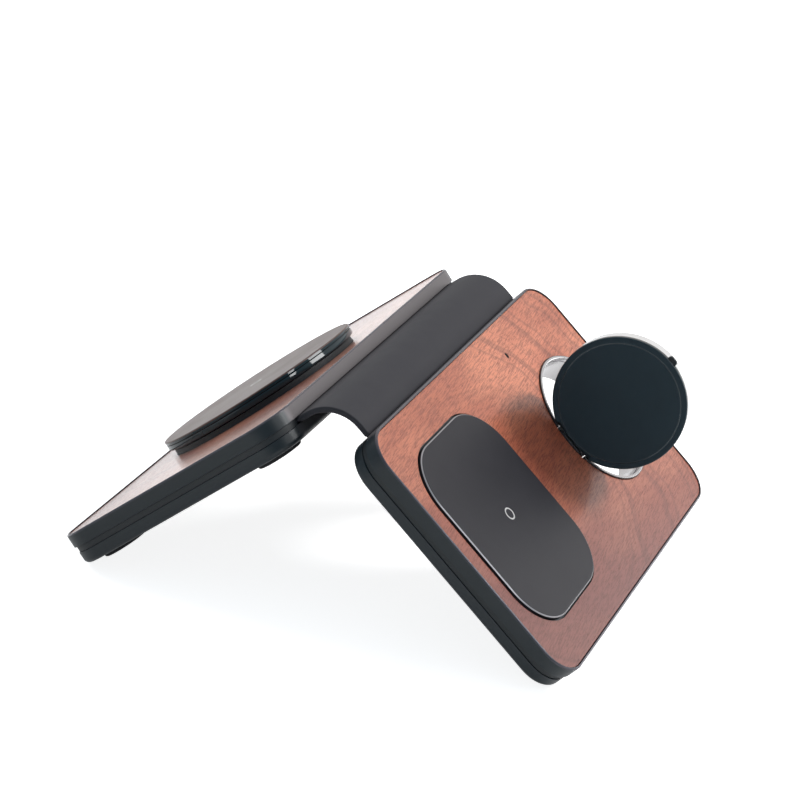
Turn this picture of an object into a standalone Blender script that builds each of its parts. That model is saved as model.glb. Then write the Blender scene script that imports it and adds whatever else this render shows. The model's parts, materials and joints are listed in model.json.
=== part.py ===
"""A folding three-station wireless charger, standing as a tent on the outer edges of its two panels.

The right panel carries the earbud pad and the flip-up watch disc, and the left panel carries the phone puck.
A flexible band joins the panels. Lengths are in metres, +Z is up, X runs across the hinge and Y along it.
Each panel has a frame of its own: x runs from the hinge side outwards, y along the hinge, and z out of the
wood face, which lies at z = 0.
"""

import math

import bmesh
import bpy
from mathutils import Euler, Matrix, Vector

# Panels.
PANEL_LENGTH = 0.1214
PANEL_DEPTH = 0.0731
PANEL_CORNER = 0.0088
UPPER_HEIGHT = 0.0037
SEAM_HEIGHT = 0.0016
LOWER_HEIGHT = 0.0035
SEAM_INSET = 0.0008
LOWER_INSET = 0.0003
EDGE_EASE = 0.0004
BOTTOM_ROUND = 0.0014
CASE_WALL = 0.0016
TOP_SKIN = 0.0010
FLOOR_SKIN = 0.0012
RIM_WIDTH = 0.0006
VENEER_THICKNESS = 0.0007

# Standing pose and the fold between the panels.
SLOPE = math.radians(40.77)
HINGE_GAP = 0.0235
FOLD_DROP = 0.0034

# Gaps and the overrun of cutters.
CLEARANCE = 0.0003
OVERRUN = 0.0010

# Screws, posts and feet.
POST_INSET = 0.0132
POST_RADIUS = 0.0030
SCREW_RADIUS = 0.0010
SCREW_HEAD_RADIUS = 0.0020
SCREW_HEAD_HEIGHT = 0.0007
SCREW_REACH = 0.0034
COUNTERBORE_DEPTH = 0.0017
FOOT_INSET = 0.0105
FOOT_RADIUS = 0.0060
FOOT_RECESS = 0.0006
FOOT_PROUD = 0.0012
FOOT_EASE = 0.0002

# Middle frame that shows in the seam.
FRAME_WIDTH = 0.0035
TIE_BAR = 0.0026

# Flexible band.
BAND_MARGIN = 0.0092
BAND_WIDTH = PANEL_LENGTH - 2 * BAND_MARGIN
BAND_THICKNESS = 0.0015
BAND_EASE = 0.0003
BAND_LEAD = 0.0030
TONGUE_THICKNESS = 0.0010
TONGUE_LENGTH = 0.0070
CLAMP_MARGIN = 0.0055
CLAMP_LENGTH = BAND_WIDTH - 2 * CLAMP_MARGIN
CLAMP_WIDTH = 0.0048
CLAMP_THICKNESS = 0.0014
CLAMP_SCREWS = 4
CLAMP_SCREW_RADIUS = 0.0008
CLAMP_HEAD_RADIUS = 0.0014
CLAMP_HEAD_HEIGHT = 0.0004

# Earbud station.
PAD_SIZE_X = 0.0517
PAD_SIZE_Y = 0.0444
PAD_CORNER = 0.0130
PAD_MARGIN = 0.0061
PAD_PLACE_Y = PAD_MARGIN + PAD_SIZE_Y / 2 - PANEL_LENGTH / 2
PAD_PROUD = 0.0004
PAD_BEVEL = 0.0009
PAD_COIL_OUTER = 0.0170
PAD_COIL_INNER = 0.0090
COIL_THICKNESS = 0.0011
SHIELD_MARGIN = 0.0015
SHIELD_THICKNESS = 0.0007

# Watch station.
BAY_MARGIN = 0.0072
BAY_RADIUS = 0.0190
BAY_PLACE_Y = PANEL_LENGTH / 2 - BAY_MARGIN - BAY_RADIUS
BAY_WALL = 0.0016
RING_LIP = 0.0002
RING_WALL = 0.0004
RING_STEP = 0.0003
RING_FLANGE = BAY_RADIUS + RING_LIP
RING_OUTER = BAY_RADIUS - CLEARANCE
RING_MOUTH = RING_OUTER - RING_WALL
RING_THROAT = RING_MOUTH - RING_STEP
RING_PROUD = 0.00015
RING_EASE = 0.0002
RING_GROOVE_TOP = 0.0009
RING_GROOVE_HEIGHT = 0.0005
RING_GROOVE_DEPTH = 0.0002
RING_SHORT = 0.0003
DISC_GAP = 0.00095
DISC_RADIUS = RING_MOUTH - DISC_GAP
DISC_CAP_HEIGHT = 0.0015
DISC_EASE = 0.00035
DISC_LINE_INSET = 0.0015
DISC_LINE_WIDTH = 0.00025
DISC_LINE_DEPTH = 0.0002
HOUSING_STEP = 0.0002
HOUSING_RADIUS = DISC_RADIUS - HOUSING_STEP
HOUSING_HEIGHT = 0.0050
HOUSING_ROUND = 0.0010
HOUSING_WALL = 0.0014
HOUSING_FLOOR = 0.0010
WATCH_COIL_GAP = 0.00175
WATCH_COIL_OUTER = HOUSING_RADIUS - HOUSING_WALL - WATCH_COIL_GAP
WATCH_COIL_INNER = 0.0070
WATCH_MAGNET_RADIUS = 0.0050
WATCH_MAGNET_HEIGHT = 0.0013
TAB_WIDTH = 0.0027
TAB_REACH = 0.0011
WATCH_OPEN = math.radians(81.0)
PIVOT_OUTSIDE = 0.0001
KNUCKLE_RADIUS = 0.0012
KNUCKLE_HALF = 0.0027
EAR_WIDTH = 0.0019
PIN_RADIUS = 0.0006
PIN_PLAY = 0.00015
HINGE_NOTCH_HALF = 0.0066
RING_NOTCH_HALF = 0.0053
BRACKET_DEPTH = 0.0050
WEB_DEPTH = 0.0030
WEB_REACH = 0.0022

# Status light.
LIGHT_PLACE_X = 0.0092
LIGHT_BACK = 0.0142
LIGHT_PLACE_Y = BAY_PLACE_Y - LIGHT_BACK
LIGHT_LENGTH = 0.0015
LIGHT_WIDTH = 0.0007
LIGHT_SINK = 0.00015
LIGHT_GAP = 0.0002

# Phone station.
PUCK_RADIUS = 0.0283
PUCK_HEIGHT = 0.00405
PUCK_CAP_HEIGHT = 0.0009
PUCK_EASE = 0.00035
PUCK_BASE_STEP = 0.0012
PUCK_BASE_RADIUS = PUCK_RADIUS - PUCK_BASE_STEP
PUCK_BASE_HEIGHT = 0.0011
PUCK_BASE_RING = 0.0026
TUB_RADIUS = PUCK_BASE_RADIUS - PUCK_BASE_RING
TUB_WALL = 0.0010
TUB_FLOOR = 0.0008
TUB_DEPTH = 0.0034
PHONE_COIL_INNER = 0.0110
MAGNET_COUNT = 16
MAGNET_WIDTH = 0.0026
MAGNET_LENGTH = 0.0062
MAGNET_HEIGHT = 0.0016
WASHER_WIDTH = 0.0030
WASHER_HEIGHT = 0.0003
MAGNET_GAP = 0.0006
MAGNET_RING = TUB_RADIUS - TUB_WALL - MAGNET_GAP - MAGNET_WIDTH / 2
PHONE_COIL_GAP = 0.0008
PHONE_COIL_OUTER = MAGNET_RING - MAGNET_WIDTH / 2 - PHONE_COIL_GAP

# Boards and the supply socket.
BOARD_THICKNESS = 0.0010
CHIP_HEIGHT = 0.0007
SOCKET_WIDTH = 0.0089
SOCKET_HEIGHT = 0.0032
SOCKET_DEPTH = 0.0073
SOCKET_WALL = 0.0003
SOCKET_BACK = 0.0010
SOCKET_TONGUE_WIDTH = 0.0067
SOCKET_TONGUE_HEIGHT = 0.0007
SOCKET_TONGUE_SHORT = 0.0012
SOCKET_GAP = 0.0003

# Facets round a turned piece, and along a rounded corner, a small hole or an arc.
TURN_STEPS = 48
SMALL_STEPS = 14
CORNER_STEPS = 6
ARC_STEPS = 16
EASE_STEPS = 1
ROUND_STEPS = 3

# Values worked out from the sizes above.
PANEL_HEIGHT = UPPER_HEIGHT + SEAM_HEIGHT + LOWER_HEIGHT
SEAM_TOP = -UPPER_HEIGHT
SEAM_BOTTOM = -(UPPER_HEIGHT + SEAM_HEIGHT)
SEAM_MIDDLE = -(UPPER_HEIGHT + SEAM_HEIGHT / 2)
RECESS_FLOOR = -(VENEER_THICKNESS + CLEARANCE)
SKIN_BOTTOM = RECESS_FLOOR - TOP_SKIN
FLOOR_TOP = -PANEL_HEIGHT + FLOOR_SKIN
BOARD_BOTTOM = FLOOR_TOP + CLEARANCE
BOARD_TOP = BOARD_BOTTOM + BOARD_THICKNESS
SOCKET_MIDDLE = BOARD_TOP + CLEARANCE + SOCKET_HEIGHT / 2
PANEL_MIDDLE = PANEL_DEPTH / 2
RIM_LIFT = (
    (PANEL_DEPTH - LOWER_INSET - BOTTOM_ROUND) * math.sin(SLOPE)
    + (PANEL_HEIGHT - BOTTOM_ROUND) * math.cos(SLOPE)
    + BOTTOM_ROUND
)
PIVOT_DROP = KNUCKLE_RADIUS
PIVOT_PLACE_Y = BAY_PLACE_Y - DISC_RADIUS - PIVOT_OUTSIDE
KNUCKLE_ROOM = KNUCKLE_RADIUS + CLEARANCE
EAR_HALF = KNUCKLE_HALF + CLEARANCE + EAR_WIDTH

FINISHES = {
    "case": ((0.035, 0.042, 0.048), 0.45, 0.0),
    "frame": ((0.018, 0.021, 0.025), 0.55, 0.0),
    "wood": ((0.36, 0.14, 0.08), 0.5, 0.0),
    "rubber": ((0.02, 0.02, 0.022), 0.85, 0.0),
    "band": ((0.075, 0.075, 0.082), 0.6, 0.0),
    "pad": ((0.07, 0.068, 0.07), 0.5, 0.0),
    "gloss": ((0.012, 0.016, 0.02), 0.12, 0.0),
    "satin": ((0.05, 0.045, 0.043), 0.4, 0.0),
    "polished": ((0.72, 0.72, 0.73), 0.15, 1.0),
    "aluminium": ((0.62, 0.62, 0.62), 0.3, 1.0),
    "steel": ((0.45, 0.45, 0.46), 0.3, 1.0),
    "copper": ((0.55, 0.22, 0.08), 0.35, 1.0),
    "ferrite": ((0.05, 0.05, 0.05), 0.7, 0.0),
    "board": ((0.01, 0.12, 0.05), 0.5, 0.0),
    "lens": ((0.6, 0.6, 0.58), 0.25, 0.0),
    "magnet": ((0.35, 0.35, 0.36), 0.35, 1.0),
}


def clear_scene():
    """Removes every object of the opened scene."""
    for obj in list(bpy.data.objects):
        bpy.data.objects.remove(obj, do_unlink=True)


def new_collection(name):
    """Makes a collection under the scene."""
    collection = bpy.data.collections.new(name)
    bpy.context.scene.collection.children.link(collection)
    return collection


def new_material(name, finish):
    """A principled material of the named finish."""
    colour, roughness, metallic = FINISHES[finish]
    material = bpy.data.materials.new(name)
    material.use_nodes = True
    shader = material.node_tree.nodes["Principled BSDF"]
    shader.inputs["Base Color"].default_value = (*colour, 1.0)
    shader.inputs["Roughness"].default_value = roughness
    shader.inputs["Metallic"].default_value = metallic
    return material


def new_empty(name, parent, location, turn):
    """A frame that pieces are placed in."""
    empty = bpy.data.objects.new(name, None)
    PARTS.objects.link(empty)
    empty.parent = parent
    empty.location = location
    empty.rotation_euler = turn
    return empty


def mesh_object(name, mesh, parent, finish=None, location=(0, 0, 0)):
    """Links a mesh as a part, or as a hidden cutter where no finish is named."""
    obj = bpy.data.objects.new(name, mesh)
    obj.parent = parent
    obj.location = location
    if finish:
        PARTS.objects.link(obj)
        mesh.materials.append(new_material(name, finish))
    else:
        CUTTERS.objects.link(obj)
        obj.hide_render = True
        obj.display_type = "WIRE"
    mesh.shade_smooth()
    mesh.set_sharp_from_angle(angle=math.radians(30))
    return obj


def mesh_from(name, bm):
    """Turns a bmesh into a mesh and frees it."""
    mesh = bpy.data.meshes.new(name)
    bm.to_mesh(mesh)
    bm.free()
    return mesh


def add_box(bm, low, high):
    """Adds a box between two corners and returns its vertices."""
    low, high = Vector(low), Vector(high)
    made = bmesh.ops.create_cube(bm, size=1.0)["verts"]
    for vertex in made:
        for axis in range(3):
            vertex.co[axis] = high[axis] if vertex.co[axis] > 0 else low[axis]
    return made


def add_cylinder(bm, radius, low, high, centre=(0, 0), steps=SMALL_STEPS, top=None):
    """Adds an upright cylinder, or a cone frustum where a top radius is given."""
    place = Matrix.Translation((centre[0], centre[1], (low + high) / 2))
    bmesh.ops.create_cone(
        bm,
        cap_ends=True,
        segments=steps,
        radius1=radius,
        radius2=radius if top is None else top,
        depth=high - low,
        matrix=place,
    )


def box(name, low, high, parent, finish=None):
    """A plain box."""
    bm = bmesh.new()
    add_box(bm, low, high)
    return mesh_object(name, mesh_from(name, bm), parent, finish)


def cylinders(name, radius, low, high, centres, parent, finish=None, steps=SMALL_STEPS):
    """One object holding an upright cylinder at each centre."""
    bm = bmesh.new()
    for centre in centres:
        add_cylinder(bm, radius, low, high, centre, steps)
    return mesh_object(name, mesh_from(name, bm), parent, finish)


def rounded_block(name, low, high, corner, parent, finish=None, top=0, bottom=0, steps=EASE_STEPS):
    """A box whose upright edges are rounded and whose upper and lower rims are eased."""
    low, high = Vector(low), Vector(high)
    bm = bmesh.new()
    add_box(bm, low, high)
    upright = [e for e in bm.edges if e.verts[0].co.z != e.verts[1].co.z]
    bmesh.ops.bevel(
        bm, geom=upright, offset=corner, segments=CORNER_STEPS, profile=0.5, affect="EDGES"
    )
    for level, width in ((high.z, top), (low.z, bottom)):
        if not width:
            continue
        reach = (high.z - low.z) / 4
        rim = [e for e in bm.edges if all(abs(v.co.z - level) < reach for v in e.verts)]
        bmesh.ops.bevel(bm, geom=rim, offset=width, segments=steps, profile=0.5, affect="EDGES")
    return mesh_object(name, mesh_from(name, bm), parent, finish)


def panel_block(name, inset, low, high, parent, finish=None, top=0, bottom=0, steps=EASE_STEPS):
    """A rounded block with the panel's outline, drawn in by an inset."""
    half = PANEL_LENGTH / 2 - inset
    return rounded_block(
        name,
        (inset, -half, low),
        (PANEL_DEPTH - inset, half, high),
        PANEL_CORNER - inset,
        parent,
        finish,
        top,
        bottom,
        steps,
    )


def turned(name, profile, parent, finish=None, location=(0, 0, 0), steps=TURN_STEPS):
    """Turns a profile of (radius, height) points, which run down the outer side, round the Z axis."""
    mesh = bpy.data.meshes.new(name)
    ends_on_axis = profile[0][0] == 0
    count = len(profile)
    edges = [(i, i + 1) for i in range(count - 1)]
    if not ends_on_axis:
        edges.append((count - 1, 0))
    mesh.from_pydata([(r, 0, z) for r, z in profile], edges, [])
    obj = mesh_object(name, mesh, parent, finish, location)
    screw = obj.modifiers.new("Turn", "SCREW")
    screw.steps = screw.render_steps = steps
    screw.use_merge_vertices = True
    screw.merge_threshold = 0.00001
    screw.use_smooth_shade = True
    return obj


def outline_solid(name, points, low, high, parent, finish=None):
    """A flat outline of (x, y) points filled and thickened between two heights."""
    curve = bpy.data.curves.new(name, "CURVE")
    curve.dimensions = "2D"
    curve.fill_mode = "BOTH"
    curve.extrude = (high - low) / 2
    spline = curve.splines.new("POLY")
    spline.points.add(len(points) - 1)
    for point, (x, y) in zip(spline.points, points):
        point.co = (x, y, 0, 1)
    spline.use_cyclic_u = True
    guide = bpy.data.objects.new(name + "_guide", curve)
    CUTTERS.objects.link(guide)
    graph = bpy.context.evaluated_depsgraph_get()
    mesh = bpy.data.meshes.new_from_object(guide.evaluated_get(graph))
    bpy.data.objects.remove(guide, do_unlink=True)
    bm = bmesh.new()
    bm.from_mesh(mesh)
    bpy.data.meshes.remove(mesh)
    bmesh.ops.remove_doubles(bm, verts=bm.verts, dist=0.00001)
    bmesh.ops.translate(bm, verts=bm.verts, vec=(0, 0, (high + low) / 2))
    bmesh.ops.recalc_face_normals(bm, faces=bm.faces)
    if bm.calc_volume(signed=True) < 0:
        bmesh.ops.reverse_faces(bm, faces=bm.faces)
    return mesh_object(name, mesh_from(name, bm), parent, finish)


def turn_mesh(obj, matrix):
    """Turns a part's mesh in its own frame."""
    obj.data.transform(matrix)
    return obj


def repeat(first, places):
    """Sets a piece at the first place and copies that share its mesh at the others, numbered from 1."""
    name = first.name
    first.name = f"{name}_1"
    first.location.xy = places[0]
    for i, place in enumerate(places[1:], 2):
        other = first.copy()
        other.name = f"{name}_{i}"
        other.location.xy = place
        PARTS.objects.link(other)


def combine(target, other, operation):
    """Cuts, joins or keeps the overlap of two solids with a Boolean."""
    modifier = target.modifiers.new(other.name, "BOOLEAN")
    modifier.operation = operation
    modifier.object = other
    return target


def cut(target, *cutters):
    """Takes each cutter out of the target."""
    for cutter in cutters:
        combine(target, cutter, "DIFFERENCE")
    return target


def join(target, *others):
    """Adds each solid to the target."""
    for other in others:
        combine(target, other, "UNION")
    return target


def corner_places(inset):
    """The four points near a panel's corners that lie an inset from both edges."""
    reach = PANEL_LENGTH / 2 - inset
    return [(x, y) for x in (inset, PANEL_DEPTH - inset) for y in (-reach, reach)]


def post_places():
    """Centres of the four corner posts of a panel."""
    return corner_places(POST_INSET)


def clamp_places():
    """Centres of the screws along the band clamp."""
    pitch = CLAMP_LENGTH / CLAMP_SCREWS
    first = -CLAMP_LENGTH / 2 + pitch / 2
    middle = CASE_WALL + CLEARANCE + CLAMP_WIDTH / 2
    return [(middle, first + pitch * i) for i in range(CLAMP_SCREWS)]


def bay_collar(name, low, high, frame):
    """The round wall of the watch bay between two heights."""
    place = [(PANEL_MIDDLE, BAY_PLACE_Y)]
    return cylinders(name, BAY_RADIUS + BAY_WALL, low, high, place, frame, steps=TURN_STEPS)


def upper_case(side, frame, *walls):
    """The upper shell: its rim, the recess for the veneer, the skin under it, posts and inner walls."""
    name = side + "_upper_case"
    case = panel_block(name, 0, SEAM_TOP, 0, frame, "case", top=EDGE_EASE)
    recess = panel_block(side + "_recess", RIM_WIDTH, RECESS_FLOOR, OVERRUN, frame)
    cavity = panel_block(side + "_upper_room", CASE_WALL, SEAM_TOP - OVERRUN, SKIN_BOTTOM, frame)
    skin_middle = RECESS_FLOOR - TOP_SKIN / 2
    post_end = SEAM_BOTTOM + CLEARANCE
    posts = cylinders(side + "_posts", POST_RADIUS, post_end, skin_middle, post_places(), frame)
    cut(case, recess, cavity)
    join(case, posts, *walls)
    bore_top = -(SCREW_REACH - CLEARANCE)
    radius = SCREW_RADIUS + CLEARANCE
    places = post_places()
    bores = cylinders(side + "_bores", radius, post_end - OVERRUN, bore_top, places, frame)
    return cut(case, bores)


def veneer(side, frame):
    """The wood inlay, flush with the rim."""
    inset = RIM_WIDTH + CLEARANCE
    return panel_block(side + "_wood_veneer", inset, -VENEER_THICKNESS, 0, frame, "wood")


def middle_frame(side, frame):
    """The thin frame in the seam: open towards the hinge for the band's tongue, with a tie bar behind it."""
    low, high = SEAM_BOTTOM + CLEARANCE, SEAM_TOP - CLEARANCE
    plate = panel_block(side + "_middle_frame", SEAM_INSET, low, high, frame, "frame")
    bar_start = TONGUE_LENGTH + CLEARANCE
    reach = PANEL_LENGTH / 2 - SEAM_INSET - FRAME_WIDTH
    room = rounded_block(
        side + "_frame_room",
        (bar_start + TIE_BAR, -reach, low - OVERRUN),
        (PANEL_DEPTH - SEAM_INSET - FRAME_WIDTH, reach, high + OVERRUN),
        FRAME_WIDTH,
        frame,
    )
    half = BAND_WIDTH / 2 + CLEARANCE
    gate = box(
        side + "_frame_gate",
        (-OVERRUN, -half, low - OVERRUN),
        (bar_start, half, high + OVERRUN),
        frame,
    )
    return cut(plate, room, gate)


def lower_case(side, frame, *walls):
    """The lower tray: rounded bottom edge, posts, inner walls, screw bores and recesses for the feet."""
    bottom = -PANEL_HEIGHT
    case = panel_block(
        side + "_lower_case",
        LOWER_INSET,
        bottom,
        SEAM_BOTTOM,
        frame,
        "case",
        bottom=BOTTOM_ROUND,
        steps=ROUND_STEPS,
    )
    room = panel_block(side + "_lower_room", CASE_WALL, FLOOR_TOP, SEAM_BOTTOM + OVERRUN, frame)
    cut(case, room)
    places = post_places()
    posts = cylinders(
        side + "_lower_posts", POST_RADIUS, FLOOR_TOP - FLOOR_SKIN / 2, SEAM_BOTTOM, places, frame
    )
    join(case, posts, *walls)
    recesses = cylinders(
        side + "_foot_recesses",
        FOOT_RADIUS + CLEARANCE,
        bottom - OVERRUN,
        bottom + FOOT_RECESS,
        corner_places(FOOT_INSET),
        frame,
        steps=2 * SMALL_STEPS,
    )
    heads = cylinders(
        side + "_counterbores",
        SCREW_HEAD_RADIUS + CLEARANCE,
        bottom - OVERRUN,
        bottom + COUNTERBORE_DEPTH,
        places,
        frame,
    )
    bores = cylinders(
        side + "_lower_bores",
        SCREW_RADIUS + CLEARANCE,
        bottom - OVERRUN,
        SEAM_BOTTOM + OVERRUN,
        places,
        frame,
    )
    return cut(case, recesses, heads, bores)


def feet(side, frame):
    """Four rubber feet, each with an eased lower edge."""
    top = -PANEL_HEIGHT + FOOT_RECESS - CLEARANCE
    bottom = -PANEL_HEIGHT - FOOT_PROUD
    profile = [
        (0, top),
        (FOOT_RADIUS, top),
        (FOOT_RADIUS, bottom + FOOT_EASE),
        (FOOT_RADIUS - FOOT_EASE, bottom),
        (0, bottom),
    ]
    foot = turned(side + "_rubber_foot", profile, frame, "rubber", steps=2 * SMALL_STEPS)
    repeat(foot, corner_places(FOOT_INSET))


def screw_profile(head_radius, shank_radius, head_low, head_high, tip):
    """(radius, height) points of a screw that stands on its head."""
    return [
        (0, tip),
        (shank_radius, tip),
        (shank_radius, head_high),
        (head_radius, head_high),
        (head_radius, head_low),
        (0, head_low),
    ]


def case_screws(side, frame):
    """Four screws that draw the lower tray up to the posts of the upper shell."""
    head_top = -PANEL_HEIGHT + COUNTERBORE_DEPTH - CLEARANCE
    head_bottom = head_top - SCREW_HEAD_HEIGHT
    profile = screw_profile(SCREW_HEAD_RADIUS, SCREW_RADIUS, head_bottom, head_top, -SCREW_REACH)
    screw = turned(side + "_case_screw", profile, frame, "steel", steps=SMALL_STEPS)
    repeat(screw, post_places())


def band_clamp(side, frame):
    """The bar that holds the band's tongue, with its row of screws."""
    low_x = CASE_WALL + CLEARANCE
    half = CLAMP_LENGTH / 2
    top = SEAM_TOP
    bottom = SEAM_TOP + CLAMP_THICKNESS
    clamp = box(
        side + "_band_clamp",
        (low_x, -half, top),
        (low_x + CLAMP_WIDTH, half, bottom),
        frame,
        "steel",
    )
    places = clamp_places()
    radius = CLAMP_SCREW_RADIUS + CLEARANCE
    bores = cylinders(
        side + "_clamp_bores", radius, top - OVERRUN, bottom + OVERRUN, places, frame
    )
    cut(clamp, bores)
    head_top = SEAM_BOTTOM
    head_bottom = head_top - CLAMP_HEAD_HEIGHT
    tip = SEAM_TOP + CLAMP_THICKNESS - CLEARANCE
    profile = screw_profile(CLAMP_HEAD_RADIUS, CLAMP_SCREW_RADIUS, head_bottom, head_top, tip)
    screw = turned(side + "_clamp_screw", profile, frame, "steel", steps=SMALL_STEPS)
    repeat(screw, places)


def panel_shell(side, frame):
    """The pieces that both panels have; the right one also has the wall of the watch bay."""
    upper_walls, lower_walls = [], []
    if side == "right":
        skin, floor = RECESS_FLOOR - TOP_SKIN / 2, -PANEL_HEIGHT + FLOOR_SKIN / 2
        upper_walls.append(bay_collar("upper_collar", SEAM_TOP, skin, frame))
        lower_walls.append(bay_collar("lower_collar", floor, SEAM_BOTTOM, frame))
    made = {
        "upper": upper_case(side, frame, *upper_walls),
        "veneer": veneer(side, frame),
        "frame": middle_frame(side, frame),
        "lower": lower_case(side, frame, *lower_walls),
    }
    feet(side, frame)
    case_screws(side, frame)
    band_clamp(side, frame)
    return made


def band_profile():
    """(x, z) points of the band's cross-section across the hinge, with a thin tongue at each end."""
    out = Vector((math.cos(SLOPE), math.sin(SLOPE)))
    up = Vector((-math.sin(SLOPE), math.cos(SLOPE)))
    rim = Vector((-HINGE_GAP / 2, RIM_LIFT))
    seam = rim + up * SEAM_MIDDLE
    start = seam + out * BAND_LEAD
    radius = -start.x / math.sin(SLOPE)
    centre = Vector((0, start.y - radius * math.cos(SLOPE)))
    thick, thin = BAND_THICKNESS / 2, TONGUE_THICKNESS / 2
    tip = seam - out * TONGUE_LENGTH
    shoulder = seam + out * CLEARANCE
    upper = [tip + up * thin, shoulder + up * thin, shoulder + up * thick]
    lower = [tip - up * thin, shoulder - up * thin, shoulder - up * thick]
    for i in range(ARC_STEPS // 2 + 1):
        angle = SLOPE * (1 - 2 * i / ARC_STEPS)
        ray = Vector((-math.sin(angle), math.cos(angle)))
        upper.append(centre + ray * (radius + thick))
        lower.append(centre + ray * (radius - thick))
    right_upper = [Vector((-p.x, p.y)) for p in reversed(upper[:-1])]
    right_lower = [Vector((-p.x, p.y)) for p in reversed(lower[:-1])]
    top_side = upper + right_upper
    under_side = lower + right_lower
    return [tuple(p) for p in top_side + list(reversed(under_side))]


def hinge_band(right_frame, left_frame):
    """The flexible band, as it arches between the panels in the standing pose."""
    half = BAND_WIDTH / 2
    band = outline_solid("hinge_band", band_profile(), -half, half, None, "band")
    turn_mesh(band, Matrix.Rotation(math.pi / 2, 4, "X"))
    ease = band.modifiers.new("Ease", "BEVEL")
    ease.width = BAND_EASE
    ease.segments = EASE_STEPS
    ease.limit_method = "ANGLE"
    ease.angle_limit = math.radians(50)
    radius = CLAMP_SCREW_RADIUS + CLEARANCE
    for side, frame in (("right", right_frame), ("left", left_frame)):
        bores = cylinders(
            side + "_tongue_bores",
            radius,
            SEAM_BOTTOM - OVERRUN,
            SEAM_TOP + OVERRUN,
            clamp_places(),
            frame,
        )
        cut(band, bores)
    return band


def coil(name, outer, inner, top, parent, place):
    """A flat coil, drawn as the ring that its turns fill."""
    bottom = top - COIL_THICKNESS
    profile = [(outer, top), (outer, bottom), (inner, bottom), (inner, top)]
    return turned(name, profile, parent, "copper", place, steps=TURN_STEPS // 2)


def shield(name, radius, top, parent, place):
    """A thin round shield under a coil."""
    bottom = top - SHIELD_THICKNESS
    profile = [(0, top), (radius, top), (radius, bottom), (0, bottom)]
    return turned(name, profile, parent, "ferrite", place, steps=TURN_STEPS // 2)


def earbud_station(frame, shell):
    """The earbud pad in its cut-out, with its coil and shield under the skin."""
    low_x, high_x = PANEL_MIDDLE - PAD_SIZE_X / 2, PANEL_MIDDLE + PAD_SIZE_X / 2
    low_y, high_y = PAD_PLACE_Y - PAD_SIZE_Y / 2, PAD_PLACE_Y + PAD_SIZE_Y / 2
    gap = CLEARANCE
    seat = RECESS_FLOOR + CLEARANCE
    pocket = rounded_block(
        "pad_cutout",
        (low_x - gap, low_y - gap, -VENEER_THICKNESS - OVERRUN),
        (high_x + gap, high_y + gap, OVERRUN),
        PAD_CORNER + gap,
        frame,
    )
    cut(shell["veneer"], pocket)
    rounded_block(
        "earbud_pad_cover",
        (low_x, low_y, seat),
        (high_x, high_y, PAD_PROUD),
        PAD_CORNER,
        frame,
        "pad",
        top=PAD_BEVEL / 2,
    )
    place = (PANEL_MIDDLE, PAD_PLACE_Y, 0)
    coil_top = SKIN_BOTTOM - CLEARANCE
    coil("earbud_coil", PAD_COIL_OUTER, PAD_COIL_INNER, coil_top, frame, place)
    shield_top = coil_top - COIL_THICKNESS - CLEARANCE
    shield("earbud_shield", PAD_COIL_OUTER + SHIELD_MARGIN, shield_top, frame, place)


def status_light(frame, shell):
    """The light guide that ends in a small slot in the wood."""
    along, across = LIGHT_LENGTH / 2, LIGHT_WIDTH / 2
    bottom = BOARD_TOP + CHIP_HEIGHT + CLEARANCE
    box(
        "status_light",
        (LIGHT_PLACE_X - along, LIGHT_PLACE_Y - across, bottom),
        (LIGHT_PLACE_X + along, LIGHT_PLACE_Y + across, -LIGHT_SINK),
        frame,
        "lens",
    )
    slot = box(
        "light_slot",
        (LIGHT_PLACE_X - along - LIGHT_GAP, LIGHT_PLACE_Y - across - LIGHT_GAP, BOARD_TOP),
        (LIGHT_PLACE_X + along + LIGHT_GAP, LIGHT_PLACE_Y + across + LIGHT_GAP, OVERRUN),
        frame,
    )
    cut(shell["veneer"], slot)
    cut(shell["upper"], slot)
    cut(shell["frame"], slot)


def bay_hole(name, radius, frame):
    """A round cutter through the whole panel at the watch station."""
    place = [(PANEL_MIDDLE, BAY_PLACE_Y)]
    low = -PANEL_HEIGHT - OVERRUN
    return cylinders(name, radius, low, OVERRUN, place, frame, steps=TURN_STEPS)


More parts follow.
